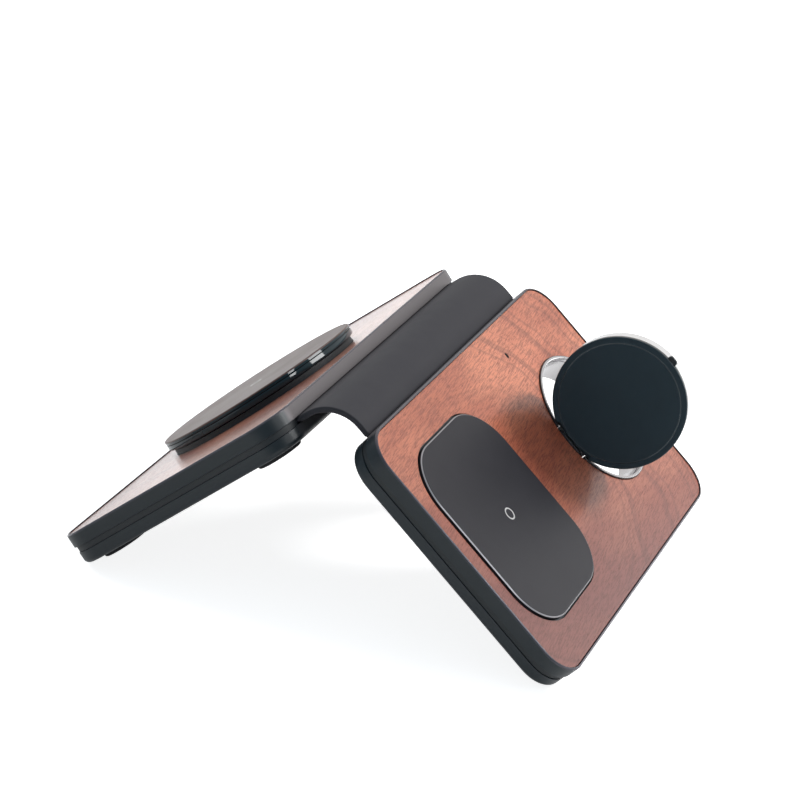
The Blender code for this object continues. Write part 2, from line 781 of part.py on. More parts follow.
def watch_bay(frame, shell):
    """The through-hole of the watch station and the polished ring that lines it."""
    hole = bay_hole("bay_hole", BAY_RADIUS, frame)
    cut(shell["upper"], hole)
    cut(shell["lower"], hole)
    cut(shell["veneer"], bay_hole("veneer_hole", RING_FLANGE + CLEARANCE, frame))
    flange_low = RECESS_FLOOR + CLEARANCE
    groove_low = -RING_GROOVE_TOP - RING_GROOVE_HEIGHT
    bottom = -PANEL_HEIGHT + RING_SHORT
    profile = [
        (RING_FLANGE, RING_PROUD - RING_EASE),
        (RING_FLANGE, flange_low),
        (RING_OUTER, flange_low),
        (RING_OUTER, bottom),
        (RING_THROAT + RING_EASE, bottom),
        (RING_THROAT, bottom + RING_EASE),
        (RING_MOUTH - RING_EASE / 4, groove_low),
        (RING_MOUTH + RING_GROOVE_DEPTH, groove_low),
        (RING_MOUTH + RING_GROOVE_DEPTH, -RING_GROOVE_TOP),
        (RING_MOUTH, -RING_GROOVE_TOP),
        (RING_MOUTH, RING_PROUD - RING_EASE),
        (RING_MOUTH + RING_EASE, RING_PROUD),
        (RING_FLANGE - RING_EASE, RING_PROUD),
    ]
    ring = turned(
        "watch_bay_ring", profile, frame, "polished", (PANEL_MIDDLE, BAY_PLACE_Y, 0)
    )
    gate = box(
        "ring_gate",
        (
            PANEL_MIDDLE - RING_NOTCH_HALF,
            BAY_PLACE_Y - RING_FLANGE - OVERRUN,
            -BRACKET_DEPTH - CLEARANCE,
        ),
        (PANEL_MIDDLE + RING_NOTCH_HALF, PIVOT_PLACE_Y + KNUCKLE_ROOM, OVERRUN),
        frame,
    )
    tab_half = TAB_WIDTH / 2 + CLEARANCE
    tab_end = DISC_RADIUS + TAB_REACH + CLEARANCE
    pocket = box(
        "finger_pocket",
        (PANEL_MIDDLE - tab_half, BAY_PLACE_Y + DISC_RADIUS - OVERRUN, -DISC_CAP_HEIGHT - CLEARANCE),
        (PANEL_MIDDLE + tab_half, BAY_PLACE_Y + tab_end, OVERRUN),
        frame,
    )
    cut(ring, gate, pocket)


def pivot_rod(name, radius, half, parent, finish=None, steps=SMALL_STEPS):
    """A rod along the watch pivot, in a frame whose origin lies on that pivot."""
    bm = bmesh.new()
    add_cylinder(bm, radius, -half, half, steps=steps)
    bm.transform(Matrix.Rotation(math.pi / 2, 4, "Y"))
    return mesh_object(name, mesh_from(name, bm), parent, finish)


def watch_hinge(frame):
    """The bracket in the ring's notch, with its two ears, and the pin through them."""
    seat = new_empty("watch_seat", frame, (PANEL_MIDDLE, PIVOT_PLACE_Y, -PIVOT_DROP), (0, 0, 0))
    back = BAY_PLACE_Y - BAY_RADIUS - PIVOT_PLACE_Y
    base_top = 0
    base_bottom = PIVOT_DROP - BRACKET_DEPTH
    bracket = box(
        "watch_hinge_bracket",
        (-EAR_HALF, back, base_bottom),
        (EAR_HALF, -CLEARANCE, base_top),
        seat,
        "steel",
    )
    ears = pivot_rod("bracket_ears", KNUCKLE_RADIUS, EAR_HALF, seat)
    ear_web = box(
        "bracket_ear_web",
        (-EAR_HALF, -KNUCKLE_RADIUS, -KNUCKLE_RADIUS),
        (EAR_HALF, 0, KNUCKLE_RADIUS / 2),
        seat,
    )
    join(bracket, ears, ear_web)
    bay = bay_hole("bracket_back", BAY_RADIUS - CLEARANCE, frame)
    combine(bracket, bay, "INTERSECT")
    room = pivot_rod("knuckle_room", KNUCKLE_ROOM, KNUCKLE_HALF + CLEARANCE, seat)
    bore = pivot_rod("ear_bore", PIN_RADIUS + PIN_PLAY, EAR_HALF + OVERRUN, seat)
    cut(bracket, room, bore)
    pivot_rod("watch_hinge_pin", PIN_RADIUS, EAR_HALF, seat, "steel")


def rounded_rim(radius, bottom, fillet):
    """(radius, height) points of a rounded lower edge, from the side to the bottom."""
    centre_r, centre_z = radius - fillet, bottom + fillet
    points = []
    for i in range(ROUND_STEPS + 1):
        angle = math.pi / 2 * i / ROUND_STEPS
        points.append((centre_r + fillet * math.cos(angle), centre_z - fillet * math.sin(angle)))
    return points


def watch_disc(axis):
    """The flip-up disc, modelled lying shut: its front cap, its metal housing, the coil and the magnet."""
    centre_y = DISC_RADIUS + PIVOT_OUTSIDE
    front = PIVOT_DROP
    place = (0, centre_y, 0)
    cap_bottom = front - DISC_CAP_HEIGHT
    line_outer = DISC_RADIUS - DISC_LINE_INSET
    line_inner = line_outer - DISC_LINE_WIDTH
    cap = turned(
        "watch_disc_cap",
        [
            (0, front),
            (line_inner, front),
            (line_inner, front - DISC_LINE_DEPTH),
            (line_outer, front - DISC_LINE_DEPTH),
            (line_outer, front),
            (DISC_RADIUS - DISC_EASE, front),
            (DISC_RADIUS, front - DISC_EASE),
            (DISC_RADIUS, cap_bottom),
            (0, cap_bottom),
        ],
        axis,
        "gloss",
        place,
    )
    tab = rounded_block(
        "finger_tab",
        (-TAB_WIDTH / 2, centre_y + DISC_RADIUS - TAB_WIDTH, cap_bottom),
        (TAB_WIDTH / 2, centre_y + DISC_RADIUS + TAB_REACH, front - DISC_EASE),
        TAB_REACH,
        axis,
    )
    join(cap, tab)
    top = cap_bottom - CLEARANCE
    bottom = top - HOUSING_HEIGHT
    inner = HOUSING_RADIUS - HOUSING_WALL
    profile = [(0, bottom + HOUSING_FLOOR), (inner, bottom + HOUSING_FLOOR), (inner, top)]
    profile += [(HOUSING_RADIUS, top)]
    profile += rounded_rim(HOUSING_RADIUS, bottom, HOUSING_ROUND)
    profile += [(0, bottom)]
    housing = turned("watch_disc_housing", profile, axis, "aluminium", place)
    notch = box(
        "disc_notch",
        (-HINGE_NOTCH_HALF, -DISC_RADIUS, bottom - OVERRUN),
        (HINGE_NOTCH_HALF, KNUCKLE_ROOM, front + OVERRUN),
        axis,
    )
    cut(cap, notch)
    cut(housing, notch)
    knuckle = pivot_rod("knuckle", KNUCKLE_RADIUS, KNUCKLE_HALF, axis)
    web = box(
        "knuckle_web",
        (-KNUCKLE_HALF, 0, -WEB_DEPTH),
        (KNUCKLE_HALF, WEB_REACH, cap_bottom - CLEARANCE),
        axis,
    )
    bore = pivot_rod("knuckle_bore", PIN_RADIUS + PIN_PLAY, KNUCKLE_HALF + OVERRUN, axis)
    join(housing, web, knuckle)
    cut(housing, bore)
    coil_top = cap_bottom - CLEARANCE
    coil("watch_coil", WATCH_COIL_OUTER, WATCH_COIL_INNER, coil_top, axis, place)
    magnet_bottom = bottom + HOUSING_FLOOR + CLEARANCE
    magnet_top = magnet_bottom + WATCH_MAGNET_HEIGHT
    turned(
        "watch_magnet",
        [
            (0, magnet_top),
            (WATCH_MAGNET_RADIUS, magnet_top),
            (WATCH_MAGNET_RADIUS, magnet_bottom),
            (0, magnet_bottom),
        ],
        axis,
        "magnet",
        place,
        steps=TURN_STEPS // 2,
    )


def phone_station(frame, shell):
    """The round phone puck on the left panel: base ring, glossy tub, satin cap, coil, magnets and shield."""
    place = (PANEL_MIDDLE, 0, 0)
    spot = [(PANEL_MIDDLE, 0)]
    low = SEAM_TOP - OVERRUN
    hole = cylinders(
        "puck_hole", TUB_RADIUS + CLEARANCE, low, OVERRUN, spot, frame, steps=TURN_STEPS
    )
    cut(shell["upper"], hole)
    veneer_hole = cylinders(
        "puck_veneer_hole",
        PUCK_BASE_RADIUS + CLEARANCE,
        -VENEER_THICKNESS - OVERRUN,
        OVERRUN,
        spot,
        frame,
        steps=TURN_STEPS,
    )
    cut(shell["veneer"], veneer_hole)
    base_low = RECESS_FLOOR + CLEARANCE
    base_in = TUB_RADIUS + CLEARANCE
    turned(
        "phone_puck_base",
        [
            (PUCK_BASE_RADIUS, PUCK_BASE_HEIGHT),
            (PUCK_BASE_RADIUS, base_low),
            (base_in, base_low),
            (base_in, PUCK_BASE_HEIGHT),
        ],
        frame,
        "frame",
        place,
    )
    wall_low = PUCK_BASE_HEIGHT + CLEARANCE
    cap_low = PUCK_HEIGHT - PUCK_CAP_HEIGHT
    wall_top = cap_low - CLEARANCE
    tub_bottom = -TUB_DEPTH
    tub_in = TUB_RADIUS - TUB_WALL
    turned(
        "phone_puck_tub",
        [
            (0, tub_bottom + TUB_FLOOR),
            (tub_in, tub_bottom + TUB_FLOOR),
            (tub_in, wall_top),
            (PUCK_RADIUS, wall_top),
            (PUCK_RADIUS, wall_low + PUCK_EASE),
            (PUCK_RADIUS - PUCK_EASE, wall_low),
            (TUB_RADIUS, wall_low),
            (TUB_RADIUS, tub_bottom),
            (0, tub_bottom),
        ],
        frame,
        "gloss",
        place,
    )
    turned(
        "phone_puck_cap",
        [
            (0, PUCK_HEIGHT),
            (PUCK_RADIUS - PUCK_EASE, PUCK_HEIGHT),
            (PUCK_RADIUS, PUCK_HEIGHT - PUCK_EASE),
            (PUCK_RADIUS, cap_low),
            (0, cap_low),
        ],
        frame,
        "satin",
        place,
    )
    coil_top = cap_low - CLEARANCE
    coil("phone_coil", PHONE_COIL_OUTER, PHONE_COIL_INNER, coil_top, frame, place)
    shield_top = coil_top - COIL_THICKNESS - CLEARANCE
    shield("phone_shield", PHONE_COIL_OUTER, shield_top, frame, place)
    phone_magnets(coil_top, frame)


def phone_magnets(top, frame):
    """A ring of magnets round the coil, on a thin steel washer."""
    bm = bmesh.new()
    bottom = top - MAGNET_HEIGHT
    for i in range(MAGNET_COUNT):
        turn = Matrix.Rotation(math.tau * (i + 0.5) / MAGNET_COUNT, 4, "Z")
        made = add_box(
            bm,
            (MAGNET_RING - MAGNET_WIDTH / 2, -MAGNET_LENGTH / 2, bottom + WASHER_HEIGHT / 2),
            (MAGNET_RING + MAGNET_WIDTH / 2, MAGNET_LENGTH / 2, top),
        )
        bmesh.ops.transform(bm, matrix=turn, verts=made)
    magnets = mesh_object("magnet_blocks", mesh_from("magnet_blocks", bm), frame)
    magnets.location.x = PANEL_MIDDLE
    outer, inner = MAGNET_RING + WASHER_WIDTH / 2, MAGNET_RING - WASHER_WIDTH / 2
    washer_top = bottom + WASHER_HEIGHT
    washer = turned(
        "phone_magnet_ring",
        [(outer, washer_top), (outer, bottom), (inner, bottom), (inner, washer_top)],
        frame,
        "magnet",
        (PANEL_MIDDLE, 0, 0),
    )
    join(washer, magnets)


def stadium(width, height, steps):
    """Points of a slot-shaped outline, centred on the origin."""
    radius = height / 2
    reach = width / 2 - radius
    points = []
    for side in (1, -1):
        for i in range(steps + 1):
            angle = side * math.pi / 2 - math.pi * i / steps
            points.append((side * reach + radius * math.cos(angle), radius * math.sin(angle)))
    return points


def slot_solid(name, width, height, low, high, frame, finish=None):
    """A slot-shaped bar along the panel's y axis, at the socket's place."""
    solid = outline_solid(name, stadium(width, height, 2 * ROUND_STEPS), low, high, frame, finish)
    turn_mesh(solid, Matrix.Rotation(math.pi / 2, 4, "X"))
    return turn_mesh(solid, Matrix.Translation((PANEL_MIDDLE, 0, SOCKET_MIDDLE)))


def supply_socket(frame, shell):
    """The supply socket, which opens in the side of the left panel that lies behind."""
    face = PANEL_LENGTH / 2 - LOWER_INSET
    back = face - SOCKET_DEPTH
    socket = slot_solid(
        "supply_socket", SOCKET_WIDTH, SOCKET_HEIGHT, back, face, frame, "steel"
    )
    mouth = slot_solid(
        "socket_mouth",
        SOCKET_WIDTH - 2 * SOCKET_WALL,
        SOCKET_HEIGHT - 2 * SOCKET_WALL,
        back + SOCKET_BACK,
        face + OVERRUN,
        frame,
    )
    cut(socket, mouth)
    half_w, half_h = SOCKET_TONGUE_WIDTH / 2, SOCKET_TONGUE_HEIGHT / 2
    tongue = box(
        "socket_tongue",
        (PANEL_MIDDLE - half_w, -face + SOCKET_TONGUE_SHORT, SOCKET_MIDDLE - half_h),
        (PANEL_MIDDLE + half_w, -back - SOCKET_BACK / 2, SOCKET_MIDDLE + half_h),
        frame,
    )
    join(socket, tongue)
    window = slot_solid(
        "socket_window",
        SOCKET_WIDTH + 2 * SOCKET_GAP,
        SOCKET_HEIGHT + 2 * SOCKET_GAP,
        back - CLEARANCE,
        face + OVERRUN,
        frame,
    )
    for piece in ("upper", "frame", "lower"):
        cut(shell[piece], window)


def board(name, outline, chips, frame):
    """A circuit board of a given outline, with its chips."""
    piece = outline_solid(name, outline, BOARD_BOTTOM, BOARD_TOP, frame, "board")
    for i, (x, y, size_x, size_y) in enumerate(chips):
        chip = box(
            f"{name}_chip_{i}",
            (x - size_x / 2, y - size_y / 2, BOARD_TOP - BOARD_THICKNESS / 2),
            (x + size_x / 2, y + size_y / 2, BOARD_TOP + CHIP_HEIGHT),
            frame,
        )
        join(piece, chip)
    return piece


def right_board(frame):
    """The board from under the earbud pad to the watch bay, with a tab under the status light."""
    near = -POST_RADIUS - CLEARANCE
    low_x = CASE_WALL + CLAMP_WIDTH + POST_RADIUS
    high_x = PANEL_DEPTH - CASE_WALL - POST_RADIUS
    low_y = POST_INSET + POST_RADIUS + CLEARANCE - PANEL_LENGTH / 2
    high_y = BAY_PLACE_Y - BAY_RADIUS - BAY_WALL + near
    tab_x = LIGHT_PLACE_X + POST_RADIUS
    tab_y = LIGHT_PLACE_Y + POST_RADIUS
    light_x = LIGHT_PLACE_X - POST_RADIUS
    outline = [
        (light_x, low_y),
        (high_x, low_y),
        (high_x, high_y),
        (tab_x, high_y),
        (tab_x, tab_y),
        (light_x, tab_y),
    ]
    chip = POST_RADIUS * 2
    middle_y = (low_y + high_y) / 2
    chips = [
        (low_x + 2 * chip, middle_y, chip, chip),
        (PANEL_MIDDLE + chip, middle_y + chip / 2, chip, chip),
        (high_x - chip, middle_y - chip / 2, chip, chip / 2),
        (LIGHT_PLACE_X, LIGHT_PLACE_Y, LIGHT_LENGTH * 2, LIGHT_LENGTH),
    ]
    board("right_circuit_board", outline, chips, frame)


def left_board(frame):
    """The main board, which runs from under the puck to the supply socket."""
    low_x = POST_INSET + POST_RADIUS + CLEARANCE
    high_x = PANEL_DEPTH - low_x
    low_y = -PANEL_LENGTH / 2 + CASE_WALL + CLEARANCE
    high_y = PUCK_RADIUS
    outline = [(low_x, low_y), (high_x, low_y), (high_x, high_y), (low_x, high_y)]
    chip = POST_RADIUS * 2
    socket_end = low_y + SOCKET_DEPTH
    chips = [
        (PANEL_MIDDLE - chip, socket_end + chip, chip, chip),
        (PANEL_MIDDLE + chip, socket_end + 2 * chip, chip, chip),
        (PANEL_MIDDLE, -chip, chip, chip / 2),
        (PANEL_MIDDLE + chip, chip, chip / 2, chip),
    ]
    board("left_circuit_board", outline, chips, frame)


def build():
    """Builds the whole charger in its standing pose."""
    right_frame = new_empty("right_panel_frame", None, (HINGE_GAP / 2, 0, RIM_LIFT), (0, SLOPE, 0))
    fold_axis = new_empty("fold_axis", None, (0, 0, RIM_LIFT - FOLD_DROP), (0, 0, 0))
    left_turn = Euler((0, SLOPE, math.pi))
    left_frame = new_empty("left_panel_frame", fold_axis, (-HINGE_GAP / 2, 0, FOLD_DROP), left_turn)
    right = panel_shell("right", right_frame)
    left = panel_shell("left", left_frame)
    earbud_station(right_frame, right)
    status_light(right_frame, right)
    watch_bay(right_frame, right)
    watch_hinge(right_frame)
    watch_place = (PANEL_MIDDLE, PIVOT_PLACE_Y, -PIVOT_DROP)
    watch_axis = new_empty("watch_axis", right_frame, watch_place, (WATCH_OPEN, 0, 0))
    watch_disc(watch_axis)
    phone_station(left_frame, left)
    supply_socket(left_frame, left)
    right_board(right_frame)
    left_board(left_frame)
    hinge_band(right_frame, left_frame)


clear_scene()
PARTS = new_collection("wireless_charger")
CUTTERS = new_collection("cutters")
build()
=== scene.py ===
"""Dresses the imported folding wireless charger: smooth pieces, finishes, floor, light and camera."""

import json
import logging
import math
from collections.abc import Callable, Sequence
from dataclasses import dataclass, field
from enum import Enum
from functools import cached_property

import bmesh
import bpy
from mathutils import Matrix, Vector


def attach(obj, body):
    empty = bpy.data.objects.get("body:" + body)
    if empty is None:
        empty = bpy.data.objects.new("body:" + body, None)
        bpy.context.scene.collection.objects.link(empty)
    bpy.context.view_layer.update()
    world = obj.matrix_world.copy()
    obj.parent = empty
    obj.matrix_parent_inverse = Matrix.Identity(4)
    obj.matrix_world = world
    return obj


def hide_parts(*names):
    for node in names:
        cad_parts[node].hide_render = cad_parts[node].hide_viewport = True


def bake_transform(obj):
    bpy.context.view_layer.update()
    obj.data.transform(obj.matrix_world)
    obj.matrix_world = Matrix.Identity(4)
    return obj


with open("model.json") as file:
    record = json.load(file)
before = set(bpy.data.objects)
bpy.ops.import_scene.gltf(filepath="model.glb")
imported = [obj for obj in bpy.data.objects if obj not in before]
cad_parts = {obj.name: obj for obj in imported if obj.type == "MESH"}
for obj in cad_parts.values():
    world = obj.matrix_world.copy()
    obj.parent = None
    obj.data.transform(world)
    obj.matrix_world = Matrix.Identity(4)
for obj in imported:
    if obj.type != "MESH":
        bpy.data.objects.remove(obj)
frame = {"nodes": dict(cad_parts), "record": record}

LOG = logging.getLogger("charger")
MM = 0.001
LEAST = 0.05  # millimetres that an inset leaves of a radius or a half thickness
ROUND, FINE, SMOOTH = 96, 128, 144  # sides of the large round forms
QUARTER = math.pi / 2
Point = tuple[float, float]
Triple = tuple[float, float, float]
Profile = tuple[Point, ...]
Solid = bpy.types.Object
Socket = bpy.types.NodeSocket
Seat = tuple[Matrix, str | None]


class Side(Enum):
    """The two panels, as seen with the hinge along the view."""

    RIGHT = "right"
    LEFT = "left"

    @property
    def body(self) -> str:
        """Name of the moving body that the panel belongs to."""
        return self.value + "_panel"


class BooleanKind(Enum):
    """What a second solid does to the first."""

    CUT = "DIFFERENCE"
    JOIN = "UNION"


class LightUse(Enum):
    """What a lamp is for: the matt part of a surface, or the gleam on it."""

    BODY = "body"
    GLEAM = "gleam"


@dataclass(frozen=True)
class PanelSizes:
    """Sizes of a panel and of the standing pose, in millimetres."""

    length: float = 121.4
    depth: float = 73.1
    corner: float = 8.8
    upper: float = 3.7
    seam: float = 1.6
    lower: float = 3.5
    lower_inset: float = 0.3
    rim: float = 0.6
    rim_proud: float = 0.3
    wall: float = 1.6
    recess: float = 1.0
    skin: float = 2.0
    veneer: float = 0.7
    floor: float = 1.2
    bottom_round: float = 1.4
    slope: float = math.radians(40.77)
    hinge_gap: float = 23.5
    post_inset: float = 13.2
    post_radius: float = 3.0
    foot_inset: float = 10.5
    foot_radius: float = 6.0
    foot_recess: float = 0.6
    foot_proud: float = 1.2
    bay_margin: float = 7.2
    bay_radius: float = 19.0
    pad_y: float = -32.4

    @property
    def height(self) -> float:
        """Thickness of the whole panel."""
        return self.upper + self.seam + self.lower

    @property
    def middle(self) -> float:
        """Distance from the hinge side to the panel's middle line."""
        return self.depth / 2

    @property
    def lift(self) -> float:
        """Height of the hinge rims above the table.

        Returns:
            It, in millimetres.
        """
        run = self.depth - self.lower_inset - self.bottom_round
        rise = self.height - self.bottom_round
        return run * math.sin(self.slope) + rise * math.cos(self.slope) + self.bottom_round

    @property
    def bay_y(self) -> float:
        """Place of the watch bay's centre along the hinge."""
        return self.length / 2 - self.bay_margin - self.bay_radius

    def place(self, side: Side) -> Matrix:
        """Matrix from a panel's own millimetres to the row frame.

        Args:
            side: the panel.

        Returns:
            The panel's place, in metres.
        """
        shift = Matrix.Translation((self.hinge_gap / 2, 0, self.lift))
        turn = Matrix.Rotation(self.slope, 4, "Y")
        half_turn = Matrix.Rotation(math.pi if side is Side.LEFT else 0, 4, "Z")
        return Matrix.Scale(MM, 4) @ half_turn @ shift @ turn

    def corners(self, inset: float) -> list[Point]:
        """The four points near the corners that lie an inset from both edges."""
        far = self.length / 2 - inset
        return [(x, y) for x in (inset, self.depth - inset) for y in (-far, far)]


@dataclass(frozen=True)
class RoundedOutline:
    """A rectangle with round corners, which can be drawn in by an inset."""

    low: Point
    high: Point
    corner: float
    steps: int = 14

    def __call__(self, inset: float) -> list[Point]:
        """Points of the outline.

        Args:
            inset: how far it is drawn in.

        Returns:
            The points, in order round it.
        """
        radius = max(self.corner - inset, LEAST)
        x0, y0 = (value + inset + radius for value in self.low)
        x1, y1 = (value - inset - radius for value in self.high)
        points = []
        for centre, start in (((x1, y1), 0), ((x0, y1), 90), ((x0, y0), 180), ((x1, y0), 270)):
            points += arc(centre, radius, start, start + 90, self.steps)
        return points


@dataclass(frozen=True)
class CircleOutline:
    """A circle whose radius is the value that it is called with."""

    centre: Point = (0.0, 0.0)
    steps: int = SMOOTH

    def __call__(self, radius: float) -> list[Point]:
        """Points of the circle of that radius."""
        return arc(self.centre, radius, 0, 360, self.steps)[:-1]


def arc(centre: Point, radius: float, start: float, end: float, count: int = 4) -> list[Point]:
    """Points of an arc.

    Args:
        centre: the arc's centre.
        radius: its radius.
        start: first angle, in degrees.
        end: last angle, in degrees.
        count: steps along the arc.

    Returns:
        The points, both ends included.
    """
    angles = [math.radians(start + (end - start) * i / count) for i in range(count + 1)]
    return [(centre[0] + radius * math.cos(a), centre[1] + radius * math.sin(a)) for a in angles]


def lifted(profile: Profile, height: float) -> list[Point]:
    """A profile moved up to a height."""
    return [(value, height + rise) for value, rise in profile]


def drawn_in(profile: Profile, radius: float, height: float = 0.0) -> list[Point]:
    """A profile whose values are insets from a radius, moved up to a height."""
    return [(radius - inset, height + rise) for inset, rise in profile]


def add_object(name: str, data: bpy.types.ID) -> Solid:
    """Sets a new object in the scene.

    Args:
        name: name of the object.
        data: its mesh, light or camera.

    Returns:
        The object.
    """
    obj = bpy.data.objects.new(name, data)
    bpy.context.scene.collection.objects.link(obj)
    return obj


class Workshop:
    """Makes scratch solids, cuts and joins them, and sets the finished pieces in their place."""

    scratch: list[Solid] = []
    sharp_angle: float = math.radians(35)

    @classmethod
    def from_bmesh(cls, name: str, bm: bmesh.types.BMesh) -> Solid:
        """Turns a bmesh into a scratch object with its faces pointing out.

        Args:
            name: name of the object.
            bm: the mesh, which is freed.

        Returns:
            The scratch object.
        """
        bmesh.ops.recalc_face_normals(bm, faces=bm.faces)
        mesh = bpy.data.meshes.new(name)
        bm.to_mesh(mesh)
        bm.free()
        mesh.shade_smooth()
        mesh.set_sharp_from_angle(angle=cls.sharp_angle)
        cls.scratch.append(add_object(name, mesh))
        return cls.scratch[-1]

    @classmethod
    def loft(
        cls,
        name: str,
        outline: Callable[[float], list[Point]],
        sections: Sequence[Point],
        closed: bool = False,
    ) -> Solid:
        """A solid through loops of one outline, each given as (value for the outline, height).

        Args:
            name: name of the object.
            outline: gives the loop for a value.
            sections: the loops, in order along the surface.
            closed: whether the last loop joins the first, as on a ring.

        Returns:
            The scratch object.
        """
        bm = bmesh.new()
        loops = []
        for value, height in sections:
            loops.append([bm.verts.new((x, y, height)) for x, y in outline(value)])
        pairs = list(zip(loops, loops[1:] + loops[:1]))
        for first, second in pairs if closed else pairs[:-1]:
            for i in range(len(first)):
                j = (i + 1) % len(first)
                bm.faces.new((first[i], first[j], second[j], second[i]))
        if not closed:
            bm.faces.new(loops[0])
            bm.faces.new(loops[-1])
        return cls.from_bmesh(name, bm)

    @classmethod
    def prism(cls, name: str, outline: RoundedOutline, span: Point, inset: float = 0.0) -> Solid:
        """An upright solid with one outline, drawn in by an inset, between two heights."""
        return cls.loft(name, outline, [(inset, height) for height in span])

    @classmethod
    def box(cls, name: str, low: Triple, high: Triple) -> Solid:
        """A scratch box.

        Args:
            name: name of the object.
            low: its lowest corner.
            high: its highest corner.

        Returns:
            The scratch object.
        """
        bm = bmesh.new()
        for vertex in bmesh.ops.create_cube(bm, size=1.0)["verts"]:
            vertex.co = [h if c > 0 else l for c, l, h in zip(vertex.co, low, high)]
        return cls.from_bmesh(name, bm)

    @classmethod
    def rods(
        cls, name: str, radius: float, span: Point, places: Sequence[Point], steps: int = 40
    ) -> Solid:
        """Upright cylinders of one size, in one scratch object.

        Args:
            name: name of the object.
            radius: their radius.
            span: heights of their lower and upper ends.
            places: their centres.
            steps: sides of each.

        Returns:
            The scratch object.
        """
        bm = bmesh.new()
        low, high = span
        for x, y in places:
            matrix = Matrix.Translation((x, y, (low + high) / 2))
            size = {"radius1": radius, "radius2": radius, "depth": high - low}
            bmesh.ops.create_cone(bm, cap_ends=True, segments=steps, matrix=matrix, **size)
        return cls.from_bmesh(name, bm)

    @classmethod
    def points(cls, name: str, places: Sequence[Point]) -> Solid:
        """A scratch object of loose points, for Geometry Nodes to set things on.

        Args:
            name: name of the object.
            places: the points.

        Returns:
            The scratch object.
        """
        mesh = bpy.data.meshes.new(name)
        mesh.from_pydata([(x, y, 0.0) for x, y in places], [], [])
        cls.scratch.append(add_object(name, mesh))
        return cls.scratch[-1]

    @staticmethod
    def apply(target: Solid, kind: BooleanKind, *others: Solid) -> None:
        """Cuts or joins solids, in order, with live modifiers on the target.

        Args:
            target: the solid that changes.
            kind: what the others do to it.
            others: the other solids.
        """
        for other in others:
            modifier = target.modifiers.new(other.name, "BOOLEAN")
            modifier.operation = kind.value
            modifier.object = other

    @staticmethod
    def finish_piece(
        source: Solid,
        name: str,
        seat: Seat,
        nodes: Sequence[str],
        slot: str,
        material: bpy.types.Material,
    ) -> Solid:
        """Makes the final mesh of a piece, in the row frame, and lets it stand for its CAD nodes.

        Args:
            source: the scratch object, in its own millimetres.
            name: name of the piece.
            seat: matrix from those millimetres to the row frame, and the body that it rides on,
                or None for a piece that bends between two.
            nodes: the CAD nodes that it stands for.
            slot: its material slot in the record; not used.
            material: its material.

        Returns:
            The finished piece.
        """
        place, body = seat
        weighted = source.modifiers.new("even_shading", "WEIGHTED_NORMAL")
        weighted.keep_sharp = True
        graph = bpy.context.evaluated_depsgraph_get()
        mesh = bpy.data.meshes.new_from_object(
            source.evaluated_get(graph), preserve_all_data_layers=True, depsgraph=graph
        )
        mesh.name = name
        local = mesh.attributes.new("local", "FLOAT_VECTOR", "POINT")
        coords = [value for vertex in mesh.vertices for value in vertex.co]
        local.data.foreach_set("vector", coords)
        mesh.transform(place)
        mesh.materials.clear()
        mesh.materials.append(material)
        piece = add_object(name, mesh)
        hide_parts(*nodes)
        if body:
            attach(piece, body)
        LOG.info("%s: %d faces", name, len(mesh.polygons))
        return piece

    @classmethod
    def clear(cls) -> None:
        """Removes every scratch object."""
        for obj in cls.scratch:
            mesh = obj.data
            bpy.data.objects.remove(obj, do_unlink=True)
            bpy.data.meshes.remove(mesh)
        cls.scratch.clear()


